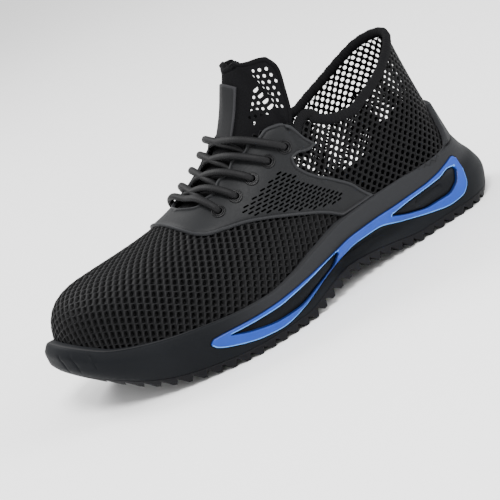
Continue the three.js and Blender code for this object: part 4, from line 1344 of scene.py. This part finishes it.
def make_inlay(name, side):
    outline = lens(INLAY, side)
    holes = [lens(table, side) for table in (FRONT_HOLE, REAR_HOLE)]
    edges = [outline] + holes
    inner = [inset(outline, row) for row in (0.25, 0.6, 1.1, 1.7)]
    inner += [inset(hole, -row) for hole in holes for row in (0.25, 0.6, 1.1, 1.7)]
    inner = np.concatenate(inner + [spread_points(outline, 1.3, 2.0)])
    distance = np.min([edge_distance(inner, edge) for edge in edges], axis=0)
    good = inside(inner, outline) & ~inside(inner, holes[0]) & ~inside(inner, holes[1]) & (distance > 0.2)
    flat, faces = fill(edges, inner[good], lambda middle: inside(middle, outline) & ~inside(middle, holes[0]) & ~inside(middle, holes[1]))
    distance, down = downward(flat, edges)
    # On an edge itself the way to it has no direction, so the nearest place off the edge lends its own.
    off = np.where(distance > 0.2)[0]
    on = np.where(distance <= 0.2)[0]
    down[on] = down[off][[np.linalg.norm(flat[off] - spot, axis=1).argmin() for spot in flat[on]]]
    points, all_faces = plate(on_wall(flat, side, curve(INLAY_SECTION, "height")(distance)), on_wall(flat, side, -INLAY_DEPTH), faces)
    piece = make(name, points, all_faces, MATERIALS["inlay"], (name.replace("_loop", ""),))
    # Painted highlight where the nearest edge lies below a point, painted shade where it lies above.
    near = smooth(1.25, 0.6, distance)
    store(piece, "rim", np.tile(near * smooth(0.1, 0.4, down), 2))
    store(piece, "painted_shade_edge", np.tile(smooth(0.6, 0.2, distance) * smooth(0.2, -0.2, down), 2))
    weld(piece, 0.001)


# Rubber outsole: a comb of wedge-shaped lugs under a smooth band.
LUG_PROUD = 0.7
NOTCH_DEPTH = 4.3
NOTCH_WIDTH = 6.2
OUTSOLE_LEVELS = ((0.0, -0.5), (0.08, 0.0), (0.5, 0.0), (0.9, 0.0), (1.0, -0.3))


def make_outsole():
    grooves = np.arange(FIRST_GROOVE * SOLE_LENGTH, LAST_GROOVE * SOLE_LENGTH, LUG_PITCH)
    half, quarter = NOTCH_WIDTH / 2, NOTCH_WIDTH / 4
    comb = np.stack([grooves - half, grooves - quarter, grooves + half, grooves + half + 0.6], -1).ravel()
    depth = np.tile((0, NOTCH_DEPTH, 0, 0), len(grooves))
    ends = (station_of(np.linspace(0, 1, 161)) - 0.5) * SOLE_LENGTH
    ends = ends[(ends < comb[0] - 0.3) | (ends > comb[-1] + 0.3)]
    x = np.sort(np.concatenate([ends, comb]))
    at = np.clip(sole_station(x), 0, 1)
    notch = np.interp(x, comb, depth, left=0, right=0)
    lug = 1 - notch / NOTCH_DEPTH
    bottom, top = underside(at) + notch, parting(at)
    size = len(x)
    columns = []
    for side in (-1, 1):
        for share, out in OUTSOLE_LEVELS:
            margin = out + LUG_PROUD * lug * (1 - share) * smooth(comb[0] - 2, comb[0] + 20, x)
            columns.append(sole_side(turn_of(at, side), mix(bottom, top, share), margin))
    levels = len(OUTSOLE_LEVELS)
    faces = []
    for i in range(size - 1):
        for level in range(levels - 1):
            for first in (0, levels):
                a, b = (first + level) * size + i, (first + level + 1) * size + i
                faces.append((a, a + 1, b + 1, b))
        for level in (0, levels - 1):
            a, b = level * size + i, (levels + level) * size + i
            faces.append((a, a + 1, b + 1, b))
    piece = make("outsole_rubber", np.concatenate(columns), faces, MATERIALS["outsole"], ("outsole",))
    weld(piece, 0.02, 25)


make_midsole()
make_outsole()
make_inlay("inlay_lateral_loop", -1)
make_inlay("inlay_medial_loop", 1)


# Tongue: padded sheet with a bound edge and open holes in its wings, and a plain label.
TONGUE = rows(
    "along up",
    (-0.14, 0.48), (-0.1, 0.49), (-0.03, 0.535), (0.035, 0.59), (0.078, 0.66), (0.1, 0.73), (0.112, 0.82),
    (0.118, 0.91), (0.105, 0.965), (0.07, 0.983),
)
TONGUE_FRONT = -0.182
TONGUE_TOP = 147.4
TONGUE_OUT = -2.3
TONGUE_THICKNESS = 4.0
WING_THICKNESS = 1.6
TONGUE_EDGE = rows("at height", (0.0, -1.6), (0.4, -0.5), (1.0, 0.0), (1.8, 0.1), (2.6, -0.1), (3.1, -0.55), (3.8, -0.1), (5.0, 0.0))
WING_HOLE = 1.1
WING_LOW = 114.0
WING_WIDE = 19.5
TAB_WIDTH = 23.0
TAB_LENGTH = 30.0
TAB_LOW = 109.0
TAB_THICKNESS = 1.0


def ridge_at_height(height):
    at = np.linspace(0, LEG_START, 600)
    here = np.interp(height, ridge_up(at) * INSTEP_HEIGHT, at)
    return flatten(turn_of(here, -1), np.ones_like(here))


def tongue_side(side):
    places = on_pattern(side, TONGUE["along"] * SOLE_LENGTH, TONGUE["up"] * LEG_HEIGHT)
    front = ridge_on_pattern(TONGUE_FRONT * SOLE_LENGTH)
    lines = [np.concatenate([[front], places[:-1]]), places[-3:], np.stack([places[-1], ridge_at_height(TONGUE_TOP)])]
    first = smooth_line(lines[0], 1.6)
    second = smooth_line(lines[1], 1.6)
    third = smooth_line(lines[2], 1.6)
    start = np.linalg.norm(second - first[-1], axis=1).argmin()
    return np.concatenate([first[:-1], second[start:-1], third])


def make_tongue():
    outer, inner = tongue_side(-1), tongue_side(1)
    outline = np.concatenate([outer, inner[:-1][::-1][:-1]])
    grid = spread_points(outline, 4.4, 5.0)
    turn, rise, _ = unflat(grid)
    place = last_point(turn, rise)
    wide = np.abs(place[:, 1] - sole_middle(sole_station(place[:, 0])))
    wing = (place[:, 2] > WING_LOW) & (wide > WING_WIDE)
    angle = np.linspace(0, 2 * np.pi, 12, endpoint=False)
    circle = np.stack([np.cos(angle), np.sin(angle)], -1) * WING_HOLE
    holes = [centre + circle for centre in grid[wing]]
    inner_points = np.concatenate([inset(outline, row) for row in (0.4, 1.0, 1.8, 2.5, 3.1, 3.8)] + [spread_points(outline, 2.2, 4.4)])
    clear = np.ones(len(inner_points), bool)
    for centre in grid[wing]:
        clear &= np.linalg.norm(inner_points - centre, axis=1) > WING_HOLE + 0.4

    def keep(middle):
        good = inside(middle, outline)
        for centre in grid[wing]:
            good &= np.linalg.norm(middle - centre, axis=1) > WING_HOLE * 0.98
        return good

    flat, faces = fill([outline] + holes, inner_points[clear], keep)
    distance = edge_distance(flat, outline)
    turn, rise, _ = unflat(flat)
    place = last_point(turn, rise)
    wide = np.abs(place[:, 1] - sole_middle(sole_station(place[:, 0])))
    thin = smooth(WING_LOW - 6, WING_LOW, place[:, 2]) * smooth(WING_WIDE - 3, WING_WIDE - 1, wide)
    thin = np.maximum(thin, smooth(3, 0, distance) * 0.4)
    outward = TONGUE_OUT + curve(TONGUE_EDGE, "height")(distance)
    thickness = mix(TONGUE_THICKNESS, WING_THICKNESS, thin)
    points, all_faces = plate(last_at(turn, rise, outward), last_at(turn, rise, TONGUE_OUT - thickness), faces)
    piece = make("tongue_pad", points, all_faces, MATERIALS["tongue"], ("tongue",))
    store(piece, "edge", np.tile(smooth(3.4, 2.8, distance), 2))
    weld(piece, 0.001)


def make_tab():
    low, high = ridge_at_height(TAB_LOW), ridge_at_height(TAB_LOW + TAB_LENGTH)
    half = TAB_WIDTH / 2
    corners = [low + (0, -half), high + (0, -half), high + (0, half), low + (0, half)]
    outline = np.concatenate([smooth_line([a, mix(a, b, 0.5), b], 1.2)[:-1] for a, b in zip(corners, corners[1:] + corners[:1])])
    inner = np.concatenate([inset(outline, row) for row in (0.3, 0.8, 1.5, 2.2)] + [spread_points(outline, 1.8, 2.8)])
    flat, faces = fill([outline], inner, lambda middle: inside(middle, outline))
    distance = edge_distance(flat, outline)
    height = np.interp(distance, (0, 0.3, 0.8, 1.5, 2.2), (0.5, 0.9, 1.0, 0.75, 0.9)) * TAB_THICKNESS
    base = TONGUE_OUT + GAP
    points, all_faces = plate(lay(flat, base + height), lay(flat, base), faces)
    piece = make("label_patch", points, all_faces, MATERIALS["tongue_tab"], ("tongue_tab",))
    store(piece, "edge", np.tile(smooth(1.9, 1.3, distance), 2))
    weld(piece, 0.001)


# Tubes: laces, rolled collar and ribbed loops.
def tube(name, path, normals, wide, thick, sides, relief, material, replaced, closed=False):
    """Tube along a path, flattened along the given normals, with relief from the way round and the way along."""
    count = len(path)
    if closed:
        tangent = np.roll(path, -1, 0) - np.roll(path, 1, 0)
    else:
        tangent = np.gradient(path, axis=0)
    tangent /= np.linalg.norm(tangent, axis=1, keepdims=True)
    up = normals - (normals * tangent).sum(1, keepdims=True) * tangent
    up /= np.linalg.norm(up, axis=1, keepdims=True)
    across = np.cross(tangent, up)
    along = np.concatenate([[0], np.cumsum(np.linalg.norm(np.diff(path, axis=0), axis=1))])
    round_way = np.linspace(0, 1, sides, endpoint=False)
    angle = 2 * np.pi * round_way
    extra = relief(round_way[None], along[:, None])
    wide, thick = (np.broadcast_to(value, (count,))[:, None] for value in (wide, thick))
    points = path[:, None] + (across[:, None] * ((wide + extra) * np.cos(angle))[..., None]
                              + up[:, None] * ((thick + extra) * np.sin(angle))[..., None])
    faces = []
    for i in range(count if closed else count - 1):
        for k in range(sides):
            a, b = i * sides + k, i * sides + (k + 1) % sides
            c, d = ((i + 1) % count) * sides + (k + 1) % sides, ((i + 1) % count) * sides + k
            faces.append((a, b, c, d))
    if not closed:
        faces.append(tuple(reversed(range(sides))))
        faces.append(tuple((count - 1) * sides + k for k in range(sides)))
    piece = make(name, points.reshape(-1, 3), faces, material, replaced)
    store(piece, "around", np.tile(round_way, count))
    store(piece, "along", np.repeat(along, sides))
    return piece


LACE_WIDE = 2.25
LACE_THICK = 1.85
LACE_LIFT = 5.4
LACE_CROWN = 0.32
LACE_SIDES = 18
LACE_STEP = 0.5
LACE_THROUGH = [(0.0, -3.0, 0.75), (0.0, 0.0, 0.8), (0.008, 2.6, 0.95), (0.045, 4.5, 1), (0.13, 5.2, 1), (0.28, 4.8, 1)]
LACE_TUCK = [(0.19, 1.2, 1), (0.105, 0.55, 0.9), (0.04, -0.6, 0.75), (-0.05, -2.6, 0.5)]


def braid(around, along):
    return 0.13 * np.cos(2 * np.pi * (3 * around + along / 3.2)) * np.cos(2 * np.pi * (3 * around - along / 3.2))


def eyelet_end(row, side):
    turn, rise = eyelet_places(side)
    forward = EYELETS["forward"][row]
    edge = (1 - throat_share(EYELETS["at"][row] - forward) / EYELETS["spread"][row]) / 2
    return {"at": station_of(turn[row]), "rise": rise[row], "side": side, "forward": forward, "edge": edge}


def lace_strand(name, start, finish, tucked, replaced):
    """Cord that comes up through one eyelet, over its flap, and goes through another or under the other flap."""
    last = [(inward + finish["edge"], up, size) for inward, up, size in LACE_TUCK] if tucked else LACE_THROUGH[::-1]
    route = LACE_THROUGH + [(0.5, LACE_CROWN * LACE_LIFT, 1)] + [(1 - inward, up, size) for inward, up, size in last]
    inward, up, size = smooth_line(np.array(route) * (100, 1, 1), 0.35).T
    inward = inward / 100
    reach = mix(start["rise"] - 1, 1 - finish["rise"], inward)
    forward = 2 * (start["forward"] + finish["forward"]) * inward * (1 - inward)
    side = np.where(reach < 0, start["side"], finish["side"])
    turn = turn_of(mix(start["at"], finish["at"], inward) - forward, side)
    rise = 1 - np.abs(reach)
    path = last_at(turn, rise, up)
    normals = last_normal(turn, rise)
    for _ in range(12):
        path[1:-1] = (path[:-2] + 2 * path[1:-1] + path[2:]) / 4
        normals[1:-1] = (normals[:-2] + normals[1:-1] + normals[2:]) / 3
    length = np.concatenate([[0], np.cumsum(np.linalg.norm(np.diff(path, axis=0), axis=1))])
    places = np.linspace(0, length[-1], int(length[-1] / LACE_STEP))
    even = lambda values: np.stack([np.interp(places, length, column) for column in values.T], -1)
    size = np.interp(places, length, size)
    tube(name, even(path), even(normals), LACE_WIDE * size, LACE_THICK * size, LACE_SIDES, braid,
         MATERIALS["lace"], replaced)


def make_laces():
    lace_strand("lace_bar_front_cord", eyelet_end(0, -1), eyelet_end(0, 1), False, ("lace_bar_front",))
    for row in range(len(EYELETS["at"]) - 1):
        for word, side in (("outer", -1), ("inner", 1)):
            start, finish = eyelet_end(row + 1, side), eyelet_end(row, -side)
            lace_strand(f"lace_cross_{row + 1}_{word}", start, finish, True, (f"lace_cross_{row + 1}",))


EYELET_PROFILE = np.array([
    (4.25, 1.45), (4.25, 1.85), (4.05, 2.2), (3.75, 2.35), (3.45, 2.25), (3.25, 1.95), (3.1, 1.95), (2.9, 2.3),
    (2.6, 2.45), (2.25, 2.3), (2.0, 1.9), (2.0, -1.4), (3.05, -1.4), (3.05, 1.45),
])


def make_eyelets():
    segments = 36
    angle = np.linspace(0, 2 * np.pi, segments, endpoint=False)
    for word, side in (("lateral", -1), ("medial", 1)):
        turns, rises = eyelet_places(side)
        for row, (turn, rise) in enumerate(zip(turns, rises)):
            centre, up = last_point(turn, rise), last_normal(turn, rise)
            one = np.cross(up, (1, 0, 0))
            one /= np.linalg.norm(one)
            two = np.cross(up, one)
            ring = np.cos(angle)[:, None] * one + np.sin(angle)[:, None] * two
            points = centre + EYELET_PROFILE[:, 0][:, None, None] * ring + (EYELET_PROFILE[:, 1][:, None] * up)[:, None]
            size = len(EYELET_PROFILE)
            faces = [((i * segments + k), ((i + 1) % size * segments + k), ((i + 1) % size * segments + (k + 1) % segments),
                      (i * segments + (k + 1) % segments)) for i in range(size) for k in range(segments)]
            name = f"eyelet_{word}_{row + 1}"
            piece = make(name + "_ring", points.reshape(-1, 3), faces, MATERIALS["eyelet"], (name,))
            weld(piece, 0.001)


# Collar: padded roll along the edge and a ribbed loop at its front on each side.
ROLL_UP = 2.4
ROLL_OUT = -0.4
ROLL_HIGH = 3.2
ROLL_THICK = 2.4
ROLL_START = 37.0
LOOP = rows("along up", (25.0, 98.5), (28.0, 101.5), (32.0, 104.0), (36.5, 105.0), (40.5, 103.0), (42.5, 99.5))
LOOP_WIDE = 3.0
LOOP_THICK = 1.7


def collar_place(turn):
    rise = np.full(turn.shape, 0.7)
    for _ in range(20):
        point = last_point(turn, rise)
        goal = collar_line(point[:, 0]) + ROLL_UP
        slope = (last_point(turn, rise + 1e-3)[:, 2] - point[:, 2]) / 1e-3
        rise = np.clip(rise + np.clip((goal - point[:, 2]) / slope, -0.05, 0.05), 0.01, 0.995)
    return rise


def make_collar():
    turn = np.linspace(0.4, 1.6, 1400)
    rise = collar_place(turn)
    point = last_point(turn, rise)
    keep = point[:, 0] > ROLL_START
    first, last = np.where(keep)[0][[0, -1]]
    turn, rise = turn[first:last + 1], rise[first:last + 1]
    path = last_at(turn, rise, np.full(turn.shape, ROLL_OUT))
    normals = last_normal(turn, rise)
    length = np.concatenate([[0], np.cumsum(np.linalg.norm(np.diff(path, axis=0), axis=1))])
    places = np.linspace(0, length[-1], int(length[-1] / 0.45))
    even = lambda values: np.stack([np.interp(places, length, column) for column in values.T], -1)
    puff = lambda around, along: 0.12 * np.sin(along * 2 * np.pi / 7.3) + 0.13 * np.sin(along * 2 * np.pi / 2.1 + 6 * around)
    ends = np.minimum(1, 0.45 + np.minimum(places, places[-1] - places) / 5)
    piece = tube("collar_roll", even(path), even(normals), ROLL_HIGH * ends, ROLL_THICK * ends, 20, puff,
                 MATERIALS["binding"], ("collar_binding",))
    ribs = lambda around, along: 0.16 * np.sin(along * 2 * np.pi / 1.3)
    for word, side in (("outer", -1), ("inner", 1)):
        places = smooth_line(on_pattern(side, LOOP["along"], LOOP["up"]), 0.3)
        turn, rise, _ = unflat(places)
        tube(f"collar_loop_{word}", last_at(turn, rise, np.full(turn.shape, -0.2)), last_normal(turn, rise),
             LOOP_WIDE, LOOP_THICK, 16, ribs, MATERIALS["binding"], ("collar_binding",))


# Tape over the seam at the back of the heel.
TAPE_LOW = 60.0
TAPE_HALF = 3.2
TAPE_BASE = 0.1
TAPE_THICKNESS = 0.75
TAPE_ROWS = 40


def make_heel_tape():
    back = np.array([1.0])
    rise = np.linspace(rise_at(back, np.array([TAPE_LOW]))[0], collar_place(back)[0], TAPE_ROWS)
    width = np.linalg.norm(last_point(1 + TANGENT_STEP, rise) - last_point(1 - TANGENT_STEP, rise), axis=-1)
    across = np.linspace(-1, 1, 9)
    turns = 1 + across[None] * (TAPE_HALF * 2 * TANGENT_STEP / width)[:, None]
    rises = np.broadcast_to(rise[:, None], turns.shape)
    height = TAPE_BASE + TAPE_THICKNESS * np.broadcast_to(1 - across**6 / 2, turns.shape)
    outer = last_at(turns, rises, height).reshape(-1, 3)
    inner = last_at(turns, rises, np.full(turns.shape, TAPE_BASE)).reshape(-1, 3)
    size = len(across)
    faces = [(i * size + k, i * size + k + 1, (i + 1) * size + k + 1, (i + 1) * size + k)
             for i in range(TAPE_ROWS - 1) for k in range(size - 1)]
    points, all_faces = plate(outer, inner, faces)
    piece = make("heel_tape", points, all_faces, MATERIALS["binding"], ("upper",))
    weld(piece, 0.01)


make_heel_tape()
make_tongue()
make_tab()
make_laces()
make_eyelets()
make_collar()


# Camera, found from the photo in the frame before centring, and the light of a plain studio.
TARGET = np.array([-5.0, 0.0, 38.0])
AZIMUTH = math.radians(-25)
ELEVATION = math.radians(16.5)
ROLL = math.radians(-24.3)
DISTANCE = 1000.0
FOCAL_PIXELS = 1645.0
IMAGE_PIXELS = 500
SENSOR = 36.0
SHIFT_PIXELS = (-18.3, -6.0)


def set_camera():
    back = np.array([
        math.sin(AZIMUTH) * math.cos(ELEVATION),
        -math.cos(AZIMUTH) * math.cos(ELEVATION),
        math.sin(ELEVATION),
    ])
    level = np.array([math.cos(AZIMUTH), math.sin(AZIMUTH), 0.0])
    upward = np.cross(back, level)
    right = math.cos(ROLL) * level + math.sin(ROLL) * upward
    up = -math.sin(ROLL) * level + math.cos(ROLL) * upward
    place = to_scene(TARGET + back * DISTANCE)
    matrix = Matrix([list(column) + [0] for column in (right, up, back)] + [list(place) + [1]]).transposed()
    camera = bpy.data.objects.new("camera", bpy.data.cameras.new("camera"))
    camera.matrix_world = matrix
    camera.data.lens = FOCAL_PIXELS * SENSOR / IMAGE_PIXELS
    camera.data.sensor_width = SENSOR
    camera.data.shift_x = SHIFT_PIXELS[0] / IMAGE_PIXELS
    camera.data.shift_y = SHIFT_PIXELS[1] / IMAGE_PIXELS
    camera.data.clip_end = 10
    bpy.context.collection.objects.link(camera)
    bpy.context.scene.camera = camera


def add_light(name, place, size, power):
    light = bpy.data.objects.new(name, bpy.data.lights.new(name, "AREA"))
    light.data.shape = "DISK"
    light.data.size = size
    light.data.energy = power
    light.location = place
    light.rotation_euler = (Vector((0, 0, 0.05)) - light.location).to_track_quat("-Z", "Y").to_euler()
    bpy.context.collection.objects.link(light)


def set_stage():
    bpy.ops.mesh.primitive_plane_add(size=FLOOR_SIZE, location=(0, 0, 0))
    floor = bpy.context.object
    floor.name = "floor"
    floor.data.materials.append(floor_material())
    world = bpy.data.worlds.new("studio")
    world.use_nodes = True
    background = world.node_tree.nodes["Background"]
    background.inputs["Color"].default_value = (1, 1, 1, 1)
    background.inputs["Strength"].default_value = 1.25
    bpy.context.scene.world = world
    add_light("key", (-0.35, -0.75, 1.3), 0.6, 30)
    add_light("fill", (1.1, -0.9, 0.8), 0.9, 14)
    add_light("rim", (-0.5, 1.1, 1.2), 0.7, 22)


set_camera()
set_stage()
